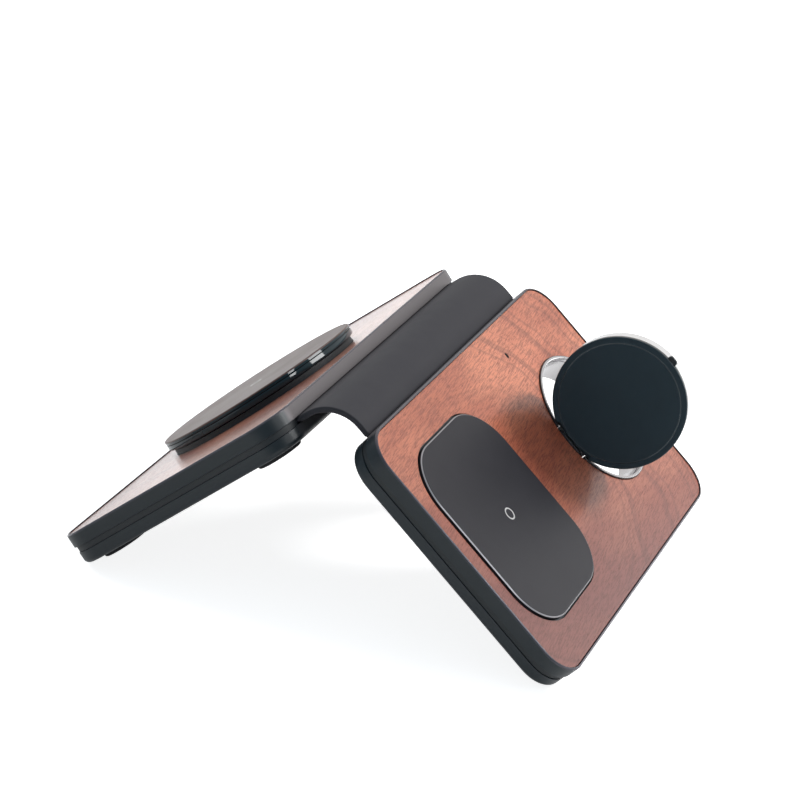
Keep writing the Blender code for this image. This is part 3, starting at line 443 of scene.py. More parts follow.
class ShaderTree:
    """Adds and links the nodes of a material or of a node group."""

    def __init__(self, tree: bpy.types.NodeTree) -> None:
        """Keeps the tree that nodes are added to."""
        self.tree = tree

    def feed(self, socket: Socket, value: object) -> None:
        """Links a socket into another, or sets its value.

        Args:
            socket: the input.
            value: the socket that feeds it, or its value.
        """
        if isinstance(value, Socket):
            self.tree.links.new(value, socket)
        else:
            socket.default_value = value

    def add(self, kind: str, values: dict | None = None, **settings: object) -> bpy.types.Node:
        """Adds a node.

        Args:
            kind: the node's type.
            values: socket name or index to a value or to a socket that feeds it.
            settings: the node's own properties.

        Returns:
            The node.
        """
        node = self.tree.nodes.new(kind)
        for key, value in settings.items():
            setattr(node, key, value)
        for key, value in (values or {}).items():
            self.feed(node.inputs[key], value)
        return node

    def out(self, kind: str, values: dict | None = None, **settings: object) -> Socket:
        """First output of a new node."""
        return self.add(kind, values, **settings).outputs[0]

    def math(self, operation: str, *values: object) -> Socket:
        """Result of a math node on numbers or sockets."""
        return self.out("ShaderNodeMath", dict(enumerate(values)), operation=operation)

    def times(self, first: object, second: object) -> Socket:
        """Product of two numbers or sockets."""
        return self.math("MULTIPLY", first, second)

    def times_plus(self, first: object, second: object, third: object) -> Socket:
        """The first times the second, plus the third."""
        return self.math("MULTIPLY_ADD", first, second, third)

    def ramp(self, factor: object, low: float, high: float) -> Socket:
        """A smooth step of the factor from 0 at low to 1 at high."""
        values = {"Value": factor, "From Min": low, "From Max": high}
        return self.add("ShaderNodeMapRange", values, interpolation_type="SMOOTHSTEP").outputs["Result"]

    def mix(self, factor: object, first: object, second: object) -> Socket:
        """A mix of two colours."""
        values = {"Factor": factor, 6: first, 7: second}
        return self.add("ShaderNodeMix", values, data_type="RGBA").outputs[2]

    def noise(self, vector: object, scale: object, detail: float = 3.0, rough: float = 0.5) -> Socket:
        """Value of a noise texture over a vector."""
        values = {"Vector": vector, "Scale": scale, "Detail": detail, "Roughness": rough}
        return self.out("ShaderNodeTexNoise", values)

    def stretch(self, vector: object, scale: Triple) -> Socket:
        """A vector scaled on each axis."""
        return self.out("ShaderNodeMapping", {"Vector": vector, "Scale": scale})

    def split(self, vector: Socket) -> Sequence[Socket]:
        """The three parts of a vector."""
        return self.add("ShaderNodeSeparateXYZ", {0: vector}).outputs

    def length(self, x: Socket, y: Socket) -> Socket:
        """Length of the vector that two parts make."""
        square = self.math("ADD", self.math("POWER", x, 2.0), self.math("POWER", y, 2.0))
        return self.math("SQRT", square)


def rgba(colour: Sequence[float]) -> tuple[float, float, float, float]:
    """A colour with full alpha."""
    return (*colour, 1.0)


def new_group(name: str, inputs: dict[str, float], outputs: Sequence[str]) -> ShaderTree:
    """Starts a shader node group with number sockets, and a vector input called Vector.

    Args:
        name: name of the group.
        inputs: name and default of each number input.
        outputs: names of its outputs.

    Returns:
        The group's tree.
    """
    tree = bpy.data.node_groups.new(name, "ShaderNodeTree")
    tree.interface.new_socket("Vector", in_out="INPUT", socket_type="NodeSocketVector")
    for key, value in inputs.items():
        socket = tree.interface.new_socket(key, in_out="INPUT", socket_type="NodeSocketFloat")
        socket.default_value = value
    for key in outputs:
        tree.interface.new_socket(key, in_out="OUTPUT", socket_type="NodeSocketFloat")
    return ShaderTree(tree)


def surface_grain_group() -> bpy.types.NodeTree:
    """The fine texture of moulded and coated surfaces: a height, and a slow variation of gloss.

    Returns:
        The group.
    """
    made = new_group("surface_grain", {"Scale": 5.0, "Depth": 1.0}, ("Height", "Variation"))
    source = made.add("NodeGroupInput")
    vector, scale, depth = (source.outputs[k] for k in ("Vector", "Scale", "Depth"))
    coarse_scale, slow_scale, coarse_share = 0.35, 0.02, 0.5
    fine = made.noise(vector, scale, 2.0)
    coarse = made.noise(vector, made.times(scale, coarse_scale), 2.0)
    height = made.times(made.math("ADD", fine, made.times(coarse, coarse_share)), depth)
    slow = made.noise(vector, made.times(scale, slow_scale))
    made.add("NodeGroupOutput", {"Height": height, "Variation": slow})
    return made.tree


def handling_group() -> bpy.types.NodeTree:
    """Faint marks of handling: soft smudges and fine hairline scratches.

    Returns:
        The group.
    """
    made = new_group("handling_marks", {"Amount": 0.5}, ("Smudge", "Scratch"))
    source = made.add("NodeGroupInput")
    vector, amount = source.outputs["Vector"], source.outputs["Amount"]
    smudge_scale, hair_scale, hair_stretch = 0.06, 2.2, (1.0, 0.06, 1.0)
    cloud = made.ramp(made.noise(vector, smudge_scale, 4.0, 0.6), 0.45, 0.75)
    line = made.ramp(made.noise(made.stretch(vector, hair_stretch), hair_scale, 1.0), 0.72, 0.78)
    marks = {"Smudge": made.times(cloud, amount), "Scratch": made.times(line, amount)}
    made.add("NodeGroupOutput", marks)
    return made.tree


class GeometryRecipe(ShaderTree):
    """A Geometry Nodes tree with named inputs, which ends in real geometry and a material."""

    def __init__(self, name: str, inputs: dict[str, str]) -> None:
        """Starts the tree.

        Args:
            name: name of the tree.
            inputs: name of each input to its socket type.
        """
        super().__init__(bpy.data.node_groups.new(name, "GeometryNodeTree"))
        face = self.tree.interface
        face.new_socket("Geometry", in_out="OUTPUT", socket_type="NodeSocketGeometry")
        for key, kind in {"Geometry": "Geometry", **inputs, "Material": "Material"}.items():
            face.new_socket(key, in_out="INPUT", socket_type="NodeSocket" + kind)
        self.given = self.add("NodeGroupInput").outputs

    def close(self, geometry: Socket) -> None:
        """Ends the tree with Realize Instances and Set Material.

        Args:
            geometry: what the tree has made.
        """
        real = self.out("GeometryNodeRealizeInstances", {"Geometry": geometry})
        values = {"Geometry": real, "Material": self.given["Material"]}
        self.add("NodeGroupOutput", {"Geometry": self.out("GeometryNodeSetMaterial", values)})

    def shape(self) -> Socket:
        """Geometry of the object given as Shape.

        Returns:
            The socket that gives it.
        """
        values = {"Object": self.given["Shape"]}
        info = self.add("GeometryNodeObjectInfo", values, transform_space="ORIGINAL")
        return info.outputs["Geometry"]

    def raised(self, geometry: Socket) -> Socket:
        """Geometry moved up by the input called Level."""
        rise = self.out("ShaderNodeCombineXYZ", {2: self.given["Level"]})
        return self.out("GeometryNodeTransform", {"Geometry": geometry, "Translation": rise})

    def apply(self, target: Solid, values: dict[str, object]) -> None:
        """Puts the tree on an object as a modifier, with its inputs set by identifier.

        Args:
            target: the object.
            values: name of each input to its value.
        """
        modifier = target.modifiers.new(self.tree.name, "NODES")
        modifier.node_group = self.tree
        for item in self.tree.interface.items_tree:
            if item.in_out == "INPUT" and item.name in values:
                modifier[item.identifier] = values[item.name]


def grip_feet_recipe() -> GeometryRecipe:
    """A shape and a ring of flat dots on every point.

    Returns:
        The tree.
    """
    sizes = dict.fromkeys(("Ring Radius", "Dot Radius", "Level"), "Float")
    made = GeometryRecipe("grip_feet", {"Shape": "Object", "Dot Count": "Int", **sizes})
    given = made.given
    circle = {"Vertices": given["Dot Count"], "Radius": given["Ring Radius"]}
    ball = {"Segments": 12, "Rings": 6, "Radius": given["Dot Radius"]}
    dot = made.out("GeometryNodeMeshUVSphere", ball)
    flat = {"Points": made.out("GeometryNodeMeshCircle", circle), "Instance": dot, "Scale": (1, 1, 0.6)}
    dots = made.raised(made.out("GeometryNodeInstanceOnPoints", flat))
    both = made.add("GeometryNodeJoinGeometry")
    made.feed(both.inputs[0], made.shape())
    made.feed(both.inputs[0], dots)
    on_points = {"Points": given["Geometry"], "Instance": both.outputs[0]}
    made.close(made.out("GeometryNodeInstanceOnPoints", on_points))
    return made


def turned_screws_recipe() -> GeometryRecipe:
    """A shape on every point, each turned about its axis by an angle of its own.

    Returns:
        The tree.
    """
    made = GeometryRecipe("turned_screws", {"Shape": "Object", "Seed": "Int"})
    given = made.given
    limits = {3: math.tau, "Seed": given["Seed"]}
    spread = made.add("FunctionNodeRandomValue", limits, data_type="FLOAT").outputs[1]
    turn = made.out("ShaderNodeCombineXYZ", {2: spread})
    rotation = made.out("FunctionNodeEulerToRotation", {0: turn})
    on_points = {"Points": given["Geometry"], "Instance": made.shape(), "Rotation": rotation}
    made.close(made.out("GeometryNodeInstanceOnPoints", on_points))
    return made


def flat_coil_recipe() -> GeometryRecipe:
    """A wire wound in a flat spiral.

    Returns:
        The tree.
    """
    sizes = ("Inner Radius", "Outer Radius", "Turns", "Wire Radius", "Level")
    made = GeometryRecipe("flat_coil", dict.fromkeys(sizes, "Float"))
    given = made.given
    spiral = {
        "Resolution": 48,
        "Rotations": given["Turns"],
        "Start Radius": given["Inner Radius"],
        "End Radius": given["Outer Radius"],
        "Height": 0.0,
    }
    wire = {"Resolution": 8, "Radius": given["Wire Radius"]}
    swept = {
        "Curve": made.out("GeometryNodeCurveSpiral", spiral),
        "Profile Curve": made.out("GeometryNodeCurvePrimitiveCircle", wire),
        "Fill Caps": True,
    }
    made.close(made.raised(made.out("GeometryNodeCurveToMesh", swept)))
    return made


@dataclass(frozen=True)
class Finish:
    """Plain values of a finish."""

    name: str
    colour: Triple
    roughness: float
    metallic: float = 0.0
    specular: float = 0.5
    grain_scale: float = 6.0
    grain_depth: float = 0.3
    gloss_spread: float = 0.08
    tone_spread: float = 0.12
    marks: float = 0.4
    smudge: float = 0.10
    scratch: float = 0.06
    bump: float = 0.15
    bump_depth: float = 0.00003


@dataclass(frozen=True)
class Sheen:
    """A part of a finish that looks different: where it lies, and what it changes to.

    It lies between smooth steps, in millimetres, along an axis of the piece's own panel frame
    (0, 1 or 2), or along the distance from an upright axis, given by its centre. Some parts carry painted
    light: a lighter colour that stands for a highlight or a lit wall, or a darker one that stands for
    shade.
    """

    along: int | Point
    steps: Profile
    colour: Triple
    metallic: float
    roughness_change: float


@dataclass(frozen=True)
class Walnut:
    """Lacquered walnut: growth bands bent round the panel's foot, long fibres and fine pores; a share of
    pale tone can be painted in as glare.
    """

    shift: float = 0.0
    lacquer: float = 0.5
    # share of the pale tone mixed over the wood: a painted glare, not a paler wood
    painted_glare: float = 0.0
    light: Triple = (0.72, 0.235, 0.122)
    warm: Triple = (0.50, 0.132, 0.062)
    mauve: Triple = (0.150, 0.038, 0.035)
    deep: Triple = (0.085, 0.014, 0.008)
    # the pale pinkish tone of the painted glare
    pale: Triple = (0.56, 0.34, 0.29)
    heart: Point = (35.0, -26.0)
    oval: float = 0.90
    drift: float = 22.0
    drift_scale: Triple = (0.022, 0.018, 0.1)
    ripple: float = 5.0
    ripple_scale: Triple = (0.08, 0.06, 0.1)
    cloud_scale: Triple = (0.05, 0.020, 0.1)
    cloud_edge: Point = (0.38, 0.60)
    outward_lean: float = -0.35
    outward_edge: Point = (8.0, 82.0)
    outward_share: float = 0.85
    growth_start: Point = (38.0, 54.0)
    growth_scale: float = 0.30
    growth_edge: Point = (0.46, 0.66)
    growth_share: float = 0.42
    fibre_turn: float = -0.10
    fibre_scale: Triple = (3.0, 0.26, 1.0)
    fibre_edge: Point = (0.42, 0.66)
    fibre_share: float = 0.46
    pore_scale: Triple = (4.6, 0.60, 1.0)
    pore_edge: Point = (0.56, 0.68)
    pore_share: float = 0.44
    roughness: float = 0.34
    fibre_roughness: float = 0.06
    pore_roughness: float = 0.2
    fibre_height: float = 0.4
    bump: float = 0.35
    bump_depth: float = 0.00006
    specular: float = 0.35
    lacquer_roughness: float = 0.16


FINISHES = {
    item.name: item
    for item in (
        Finish("case_slate", (0.0085, 0.0160, 0.0210), 0.34, specular=0.42, grain_scale=7.0),
        Finish("dark_plastic", (0.010, 0.014, 0.017), 0.5),
        Finish("foot_rubber", (0.014, 0.014, 0.015), 0.8, grain_scale=4.0, grain_depth=0.8),
        Finish("band_rubber", (0.034, 0.033, 0.039), 0.6, specular=0.32, grain_scale=3.2),
        Finish("pad_plastic", (0.024, 0.023, 0.028), 0.36, specular=0.20, grain_scale=8.0),
        Finish("puck_satin", (0.078, 0.040, 0.032), 0.34, 0.0, 0.38, grain_scale=8.0, grain_depth=0.15),
        Finish("gloss_black", (0.001, 0.018, 0.026), 0.04, 0.0, 0.45, grain_depth=0.02, gloss_spread=0.02),
        Finish("disc_front", (0.024, 0.045, 0.058), 0.45, specular=0.25, gloss_spread=0.03),
        Finish("polished_metal", (0.50, 0.49, 0.50), 0.12, 1.0, grain_depth=0.02),
        Finish("aluminium", (0.76, 0.76, 0.76), 0.27, 1.0, grain_depth=0.05, gloss_spread=0.03, marks=0.1),
        Finish("screw_steel", (0.50, 0.50, 0.51), 0.3, 1.0, grain_depth=0.2),
        Finish("bracket_steel", (0.48, 0.48, 0.49), 0.32, 1.0, grain_depth=0.2),
        Finish("magnet_metal", (0.42, 0.42, 0.43), 0.3, 1.0, grain_depth=0.15),
        Finish("copper_coil", (0.62, 0.24, 0.09), 0.3, 1.0, grain_depth=0.2, tone_spread=0.3),
        Finish("ferrite", (0.035, 0.034, 0.034), 0.7, grain_scale=4.0, grain_depth=0.6),
        Finish("circuit_board", (0.012, 0.11, 0.05), 0.4, grain_depth=0.1, tone_spread=0.3),
        Finish("light_guide", (0.004, 0.004, 0.004), 0.3, specular=0.1, grain_depth=0.1),
    )
}
PANEL = PanelSizes()
SILVER_RING = ((1.25, 1.32), (1.72, 1.65)), (0.62, 0.62, 0.62), 0.8, 0.0
# hinge-side walls of the case: a much lighter, glossier colour, painted light standing in for the light
# that falls on them
HINGE_WALL_PAINTED_LIGHT = Sheen(0, ((0.60, 0.10),), (0.150, 0.138, 0.142), 0.5, 0.04)
# rim chamfer round the wood: a glossier finish, and a lighter colour that is a painted highlight line
CASE_CHAMFER_PAINTED_HIGHLIGHT = Sheen(2, ((-0.44, -0.38),), (0.095, 0.090, 0.105), 0.5, -0.16)
PAD_MARK = Sheen((PANEL.middle, PANEL.pad_y), *SILVER_RING)
# bevel round the pad cover: a polished finish, with a light silvery colour that is a painted highlight
PAD_BEVEL_PAINTED_HIGHLIGHT = Sheen(2, ((0.10, 0.14), (0.36, 0.31)), (0.36, 0.355, 0.37), 0.85, -0.02)
PUCK_MARK = Sheen((PANEL.middle, 0.0), *SILVER_RING)
PUCK_RIM = Sheen(2, ((3.72, 3.60),), FINISHES["gloss_black"].colour, 0.0, -0.34)
DISC_EDGE = Sheen(2, ((1.1, 0.95),), (0.006, 0.012, 0.016), 0.0, -0.3)
DISC_LINE = Sheen((0.0, 17.45), ((15.5, 15.6), (15.9, 15.8)), (0.10, 0.12, 0.13), 0.3, -0.2)
# outer edge of the ring's lip: a rougher finish, and a dark colour that is painted shade where the ring
# meets the wood
RING_LIP_PAINTED_SHADE = Sheen((PANEL.middle, PANEL.bay_y), ((18.95, 19.08),), (0.05, 0.048, 0.05), 0.6, 0.1)
SHEENS = {
    "case_slate": (HINGE_WALL_PAINTED_LIGHT, CASE_CHAMFER_PAINTED_HIGHLIGHT),
    "pad_plastic": (PAD_MARK, PAD_BEVEL_PAINTED_HIGHLIGHT),
    "puck_satin": (PUCK_MARK, PUCK_RIM),
    "disc_front": (DISC_EDGE, DISC_LINE),
    "polished_metal": (RING_LIP_PAINTED_SHADE,),
}
WALNUTS = {
    "walnut_veneer": Walnut(),
    # the left panel's veneer: its figure shifted, more lacquer, and pale tone painted in as glare
    "walnut_turned": Walnut(shift=260.0, lacquer=0.8, painted_glare=0.28),
}


class Surface(ShaderTree):
    """A material in the making, with its shader."""

    def __init__(self, name: str, own: bool = False) -> None:
        """Starts the material.

        Args:
            name: name of the material.
            own: whether it follows the piece's own panel frame, or else the row frame.
        """
        self.material = bpy.data.materials.new(name)
        self.material.use_nodes = True
        super().__init__(self.material.node_tree)
        self.shader = self.tree.nodes["Principled BSDF"]
        self.own = own

    @cached_property
    def position(self) -> Socket:
        """Position in the frame that the material follows.

        Returns:
            It, in millimetres.
        """
        if self.own:
            return self.add("ShaderNodeAttribute", attribute_name="local").outputs["Vector"]
        return self.stretch(self.add("ShaderNodeTexCoord").outputs["Object"], (1 / MM,) * 3)

    def set(self, values: dict[str, object]) -> None:
        """Feeds sockets of the shader, by their names."""
        for key, value in values.items():
            self.feed(self.shader.inputs[key], value)

    def bump(self, height: Socket, strength: float, distance: float) -> None:
        """Feeds the shader's normal from a height."""
        values = {"Height": height, "Strength": strength, "Distance": distance}
        self.set({"Normal": self.out("ShaderNodeBump", values)})

    def mask(self, sheen: Sheen) -> Socket:
        """1 where a part of the surface lies, 0 elsewhere.

        Args:
            sheen: the part.

        Returns:
            The mask.
        """
        parts = self.split(self.position)
        if isinstance(sheen.along, int):
            way = parts[sheen.along]
        else:
            x, y = (self.math("SUBTRACT", parts[i], sheen.along[i]) for i in (0, 1))
            way = self.length(x, y)
        made = self.ramp(way, *sheen.steps[0])
        for step in sheen.steps[1:]:
            made = self.times(made, self.ramp(way, *step))
        return made

    def polish(self, sheen: Sheen) -> None:
        """Gives a part of the surface its own look.

        Args:
            sheen: the part and its look.
        """
        mask = self.mask(sheen)
        rough, tone = (self.shader.inputs[k].links[0].from_socket for k in ("Roughness", "Base Color"))
        metallic = self.shader.inputs["Metallic"]
        plain = metallic.default_value
        gleam = self.times_plus(mask, sheen.metallic - plain, plain)
        if metallic.is_linked:
            gleam = self.math("MAXIMUM", gleam, metallic.links[0].from_socket)
        rough = self.times_plus(mask, sheen.roughness_change, rough)
        tone = self.mix(mask, tone, rgba(sheen.colour))
        self.set({"Roughness": rough, "Base Color": tone, "Metallic": gleam})


class Paintbox:
    """Makes each material once, by the name of its slot in the record."""

    def __init__(self) -> None:
        """Builds the shared groups."""
        self.grain = surface_grain_group()
        self.handling = handling_group()
        self.made: dict[str, bpy.types.Material] = {}

    def get(self, name: str, own: bool = False) -> bpy.types.Material:
        """The material of a slot.

        Args:
            name: the slot's name.
            own: whether the piece carries the attribute of its own panel frame.

        Returns:
            The material, with the parts that look different where it follows that frame.
        """
        key = name + ("_own" if own else "")
        if key not in self.made:
            surface = self.walnut(WALNUTS[name]) if name in WALNUTS else self.plain(name, own)
            for sheen in SHEENS.get(name, ()) if own else ():
                surface.polish(sheen)
            surface.material.name = key
            self.made[key] = surface.material
        return self.made[key]

    def plain(self, name: str, own: bool) -> Surface:
        """A finish with fine grain, uneven gloss and tone, and faint marks of handling.

        Args:
            name: name of the finish.
            own: whether it follows the piece's own panel frame.

        Returns:
            The surface.
        """
        finish = FINISHES[name]
        made = Surface(name, own)
        texture = {"Scale": finish.grain_scale, "Depth": finish.grain_depth}
        grain = made.add(
            "ShaderNodeGroup", {"Vector": made.position, **texture}, node_tree=self.grain
        ).outputs
        handling = made.add(
            "ShaderNodeGroup",
            {"Vector": made.position, "Amount": finish.marks},
            node_tree=self.handling,
        ).outputs
        dark, light = (
            rgba([min(1.0, part * share) for part in finish.colour])
            for share in (1 - finish.tone_spread, 1 + finish.tone_spread)
        )
        rough = made.times_plus(grain["Variation"], finish.gloss_spread, finish.roughness)
        rough = made.times_plus(handling["Smudge"], finish.smudge, rough)
        made.set(
            {
                "Base Color": made.mix(grain["Variation"], dark, light),
                "Roughness": made.times_plus(handling["Scratch"], finish.scratch, rough),
                "Metallic": finish.metallic,
                "Specular IOR Level": finish.specular,
            }
        )
        made.bump(grain["Height"], finish.bump, finish.bump_depth)
        return made

    def walnut(self, wood: Walnut) -> Surface:
        """Veneer that follows the piece's own frame.

        Args:
            wood: its values.

        Returns:
            The surface.
        """
        made = Surface("walnut_veneer", own=True)
        parts = made.split(made.position)
        outward = made.ramp(
            made.times_plus(parts[1], wood.outward_lean, parts[0]), *wood.outward_edge
        )
        moved = made.out("ShaderNodeVectorMath", {0: made.position, 1: (0.0, wood.shift, 0.0)})
        drift = made.noise(made.stretch(moved, wood.drift_scale), 1.0, 2.0)
        ripple = made.noise(made.stretch(moved, wood.ripple_scale), 1.0, 2.0)
        dx, dy = (made.math("SUBTRACT", parts[i], wood.heart[i]) for i in (0, 1))
        reach = made.times_plus(drift, wood.drift, made.length(dx, made.times(dy, wood.oval)))
        reach = made.times_plus(ripple, wood.ripple, reach)
        flow = made.noise(made.out("ShaderNodeCombineXYZ", {0: reach}), wood.growth_scale, 3.0, 0.6)
        growth = made.times(made.ramp(reach, *wood.growth_start), made.ramp(flow, *wood.growth_edge))
        cloud = made.ramp(made.noise(made.stretch(moved, wood.cloud_scale), 1.0), *wood.cloud_edge)
        lean = made.out("ShaderNodeVectorRotate", {0: moved, "Angle": wood.fibre_turn})
        fibre = made.noise(made.stretch(lean, wood.fibre_scale), 1.0, 3.0, 0.6)
        streak = made.ramp(fibre, *wood.fibre_edge)
        pores = made.noise(made.stretch(lean, wood.pore_scale), 1.0, 2.0, 0.6)
        pore = made.ramp(pores, *wood.pore_edge)
        tone = made.mix(cloud, rgba(wood.light), rgba(wood.warm))
        for mask, share, colour in (
            (outward, wood.outward_share, wood.mauve),
            (growth, wood.growth_share, wood.deep),
            (streak, wood.fibre_share, wood.deep),
            (pore, wood.pore_share, wood.deep),
        ):
            tone = made.mix(made.times(mask, share), tone, rgba(colour))
        rough = made.times_plus(streak, wood.fibre_roughness, wood.roughness)
        # the pale tone is mixed over the wood as a painted glare
        made.set(
            {
                "Base Color": made.mix(wood.painted_glare, tone, rgba(wood.pale)),
                "Roughness": made.times_plus(pore, wood.pore_roughness, rough),
                "Specular IOR Level": wood.specular,
                "Coat Weight": wood.lacquer,
                "Coat Roughness": wood.lacquer_roughness,
            }
        )
        height = made.math("SUBTRACT", made.times(fibre, wood.fibre_height), pore)
        made.bump(height, wood.bump, wood.bump_depth)
        return made


@dataclass
class SubAssembly:
    """What the sub-assemblies share: finishes, the panel that carries them, and its sizes."""

    paint: Paintbox
    side: Side = field(default=Side.RIGHT, kw_only=True)
    sizes: PanelSizes = field(default=PanelSizes(), kw_only=True)

    @property
    def seat(self) -> Seat:
        """Place and body of the panel."""
        return self.sizes.place(self.side), self.side.body

    def finish(
        self, source: Solid, node: str, slot: str, look: str = "", seat: Seat | None = None
    ) -> Solid:
        """Sets a piece in its place.

        Args:
            source: the scratch object.
            node: the CAD node that it stands for.
            slot: its material slot in the record.
            look: its finish, where that isn't the slot's own.
            seat: its place and body, where these aren't the panel's.

        Returns:
            The finished piece.
        """
        material = self.paint.get(look or slot, own=True)
        return Workshop.finish_piece(
            source, node + "_skin", seat or self.seat, [node], slot, material
        )


@dataclass
class PanelShell(SubAssembly):
    """Upper case, lower case, middle frame and veneer of one panel, its feet and screws."""

    bevel: float = 0.1
    chamfer: Profile = ((0.40, 0.0), (0.32, -0.02), (0.05, -0.29), (0.0, -0.40))
    chamfer_round: float = 0.08
    upper_lip: Profile = ((0.0, 0.15), (0.04, 0.04), (0.15, 0.0))
    lower_lip: Profile = ((0.5, 0.0), (0.34, -0.04), (0.3, -0.2))
    bay_wall: float = 1.6
    bay_cut: Point = (-12.0, 3.0)
    collar_top: float = -1.5
    puck_hole: float = 24.8
    puck_cut: Point = (-6.0, 3.0)
    post_foot: float = -5.0
    post_root: float = 0.5
    screw_bore: float = 1.3
    bore_span: Point = (-5.5, -3.1)
    head_bore: float = 2.3
    head_seat: float = 1.7
    overlap: float = 0.6
    spare: float = 1.0
    foot_gap: float = 0.3
    frame_inset: float = 0.55
    frame_bevel: float = 0.05
    frame_span: Point = (-5.28, -3.72)
    frame_width: float = 4.3
    frame_hinge_width: float = 9.9
    frame_round: float = 3.5
    tongue_gate: Point = (7.3, 51.8)
    socket_half: float = 4.75
    socket_span: Point = (-5.9, -2.1)
    socket_round: float = 1.88
    socket_reach: Point = (52.0, 61.0)
    veneer_gap: float = 0.14
    veneer_bevel: float = 0.06
    veneer_cut: Point = (-3.0, 3.0)
    pad_gap: float = 0.55
    pad_cut: Point = (-2.0, 1.0)
    bay_opening: float = 19.35
    puck_opening: float = 27.3
    light_outline: RoundedOutline = RoundedOutline((8.4, 19.76), (10.0, 20.84), 0.53, 8)
    light_gap: float = 0.04
    light_cut: Point = (-3.0, 2.0)
    light_shaft: tuple[Triple, Triple] = ((8.2, 19.7, -7.0), (10.2, 20.9, 2.0))
    light_lens: Profile = ((0.0, -2.4), (0.0, -0.45), (0.08, -0.37), (0.2, -0.34))
    foot_edge: float = 0.5
    foot_tread: Profile = ((0.12, 0.2), (0.4, 0.04), (0.7, 0.0), (1.1, 0.05), (1.3, 0.22))
    foot_well: Point = (0.6, 0.22)
    dot_count: int = 12
    dot_ring: float = 0.58
    dot_radius: float = 0.42
    dot_level: float = 0.26
    screw_head: Profile = ((0.1, 0.7), (1.2, 0.71), (1.75, 0.82), (1.95, 1.0), (2.0, 1.1))
    screw_seat: float = 1.4
    screw_shank: float = 1.0
    screw_core: float = 0.82
    screw_pitch: float = 0.2
    thread_gap: float = 0.3
    thread_steps: int = 18
    screw_tip: Profile = ((0.9, -3.5), (0.3, -3.42))
    cross_half: Point = (1.15, 0.2)

    @property
    def outline(self) -> RoundedOutline:
        """The panel's outline."""
        half = self.sizes.length / 2
        return RoundedOutline((0.0, -half), (self.sizes.depth, half), self.sizes.corner)

    @property
    def bay(self) -> list[Point]:
        """Centre of the watch bay."""
        return [(self.sizes.middle, self.sizes.bay_y)]

    def node(self, piece: str) -> str:
        """A CAD node's name on this side."""
        return f"{self.side.value}_{piece}"

    def cut_socket(self, target: Solid) -> None:
        """Cuts the supply socket's window into a piece.

        Args:
            target: the piece.
        """
        x, (low, high) = self.sizes.middle, self.socket_span
        corners = (x - self.socket_half, low), (x + self.socket_half, high)
        outline = RoundedOutline(*corners, self.socket_round, 8)
        window = Workshop.prism("window", outline, self.socket_reach)
        window.data.transform(Matrix.Rotation(QUARTER, 4, "X"))
        Workshop.apply(target, BooleanKind.CUT, window)

    def cut_light(self, target: Solid) -> None:
        """Cuts the shaft of the status light into a piece."""
        Workshop.apply(target, BooleanKind.CUT, Workshop.box("slot", *self.light_shaft))

    def open_bay(self, target: Solid, low: float, high: float) -> None:
        """Gives a case the collar of the watch bay, and cuts the bay through it.

        Args:
            target: the case.
            low: height of the collar's lower end.
            high: height of its upper end.
        """
        ring = self.sizes.bay_radius + self.bay_wall
        collar = Workshop.rods("collar", ring, (low, high), self.bay, ROUND)
        hole = Workshop.rods("hole", self.sizes.bay_radius, self.bay_cut, self.bay, ROUND)
        Workshop.apply(target, BooleanKind.JOIN, collar)
        Workshop.apply(target, BooleanKind.CUT, hole)

    def upper_case(self) -> None:
        """The upper shell, with a polished chamfer round the recess for the wood, its colour lightened as
        a painted highlight.
        """
        s, turn, bevel = self.sizes, self.chamfer_round, self.bevel
        sections = [(s.rim, -s.recess), (s.rim, -bevel)]
        sections += arc((s.rim - turn, -turn), turn, 0, 90, 3)[1:]
        sections += self.chamfer
        sections += lifted(self.upper_lip, -s.upper)
        sections += [(s.wall - bevel, -s.upper), (s.wall, -s.upper + bevel)]
        sections += [(s.wall, -s.skin - bevel), (s.wall + bevel, -s.skin)]
        case = Workshop.loft("upper", self.outline, sections)
        places = s.corners(s.post_inset)
        posts = Workshop.rods("posts", s.post_radius, (self.post_foot, -s.skin + self.post_root), places)
        bores = Workshop.rods("bores", self.screw_bore, self.bore_span, places)
        Workshop.apply(case, BooleanKind.JOIN, posts)
        Workshop.apply(case, BooleanKind.CUT, bores)
        if self.side is Side.RIGHT:
            self.open_bay(case, -s.upper, self.collar_top)
            self.cut_light(case)
        else:
            spot = [(s.middle, 0.0)]
            hole = Workshop.rods("hole", self.puck_hole, self.puck_cut, spot, ROUND)
            Workshop.apply(case, BooleanKind.CUT, hole)
            self.cut_socket(case)
        self.finish(case, self.node("upper_case"), "case_slate")

    def lower_case(self) -> None:
        """The lower tray with its round bottom edge."""
        s = self.sizes
        seam, bottom, reach = -(s.upper + s.seam), -s.height, s.bottom_round
        sections = [(s.wall, bottom + s.floor), (s.wall, seam - self.bevel)]
        sections += [(s.wall - self.bevel, seam)]
        sections += lifted(self.lower_lip, seam)
        edge = arc((0.0, 0.0), reach, 0, 90, 8)
        sections += [(s.lower_inset + reach - x, bottom + reach - z) for x, z in edge]
        case = Workshop.loft("lower", self.outline, sections)
        places, spots = s.corners(s.post_inset), s.corners(s.foot_inset)
        under, root = bottom - 2 * self.spare, bottom + self.overlap
        foot = s.foot_radius + self.foot_gap
        posts = Workshop.rods("posts", s.post_radius, (root, seam), places)
        feet = Workshop.rods("feet", foot, (under, bottom + s.foot_recess), spots, 64)
        heads = Workshop.rods("heads", self.head_bore, (under, bottom + self.head_seat), places)
        bores = Workshop.rods("bores", self.screw_bore, (under, seam + self.spare), places)
        Workshop.apply(case, BooleanKind.JOIN, posts)
        Workshop.apply(case, BooleanKind.CUT, feet, heads, bores)
        if self.side is Side.RIGHT:
            self.open_bay(case, root, seam)
        else:
            self.cut_socket(case)
        self.finish(case, self.node("lower_case"), "case_slate")

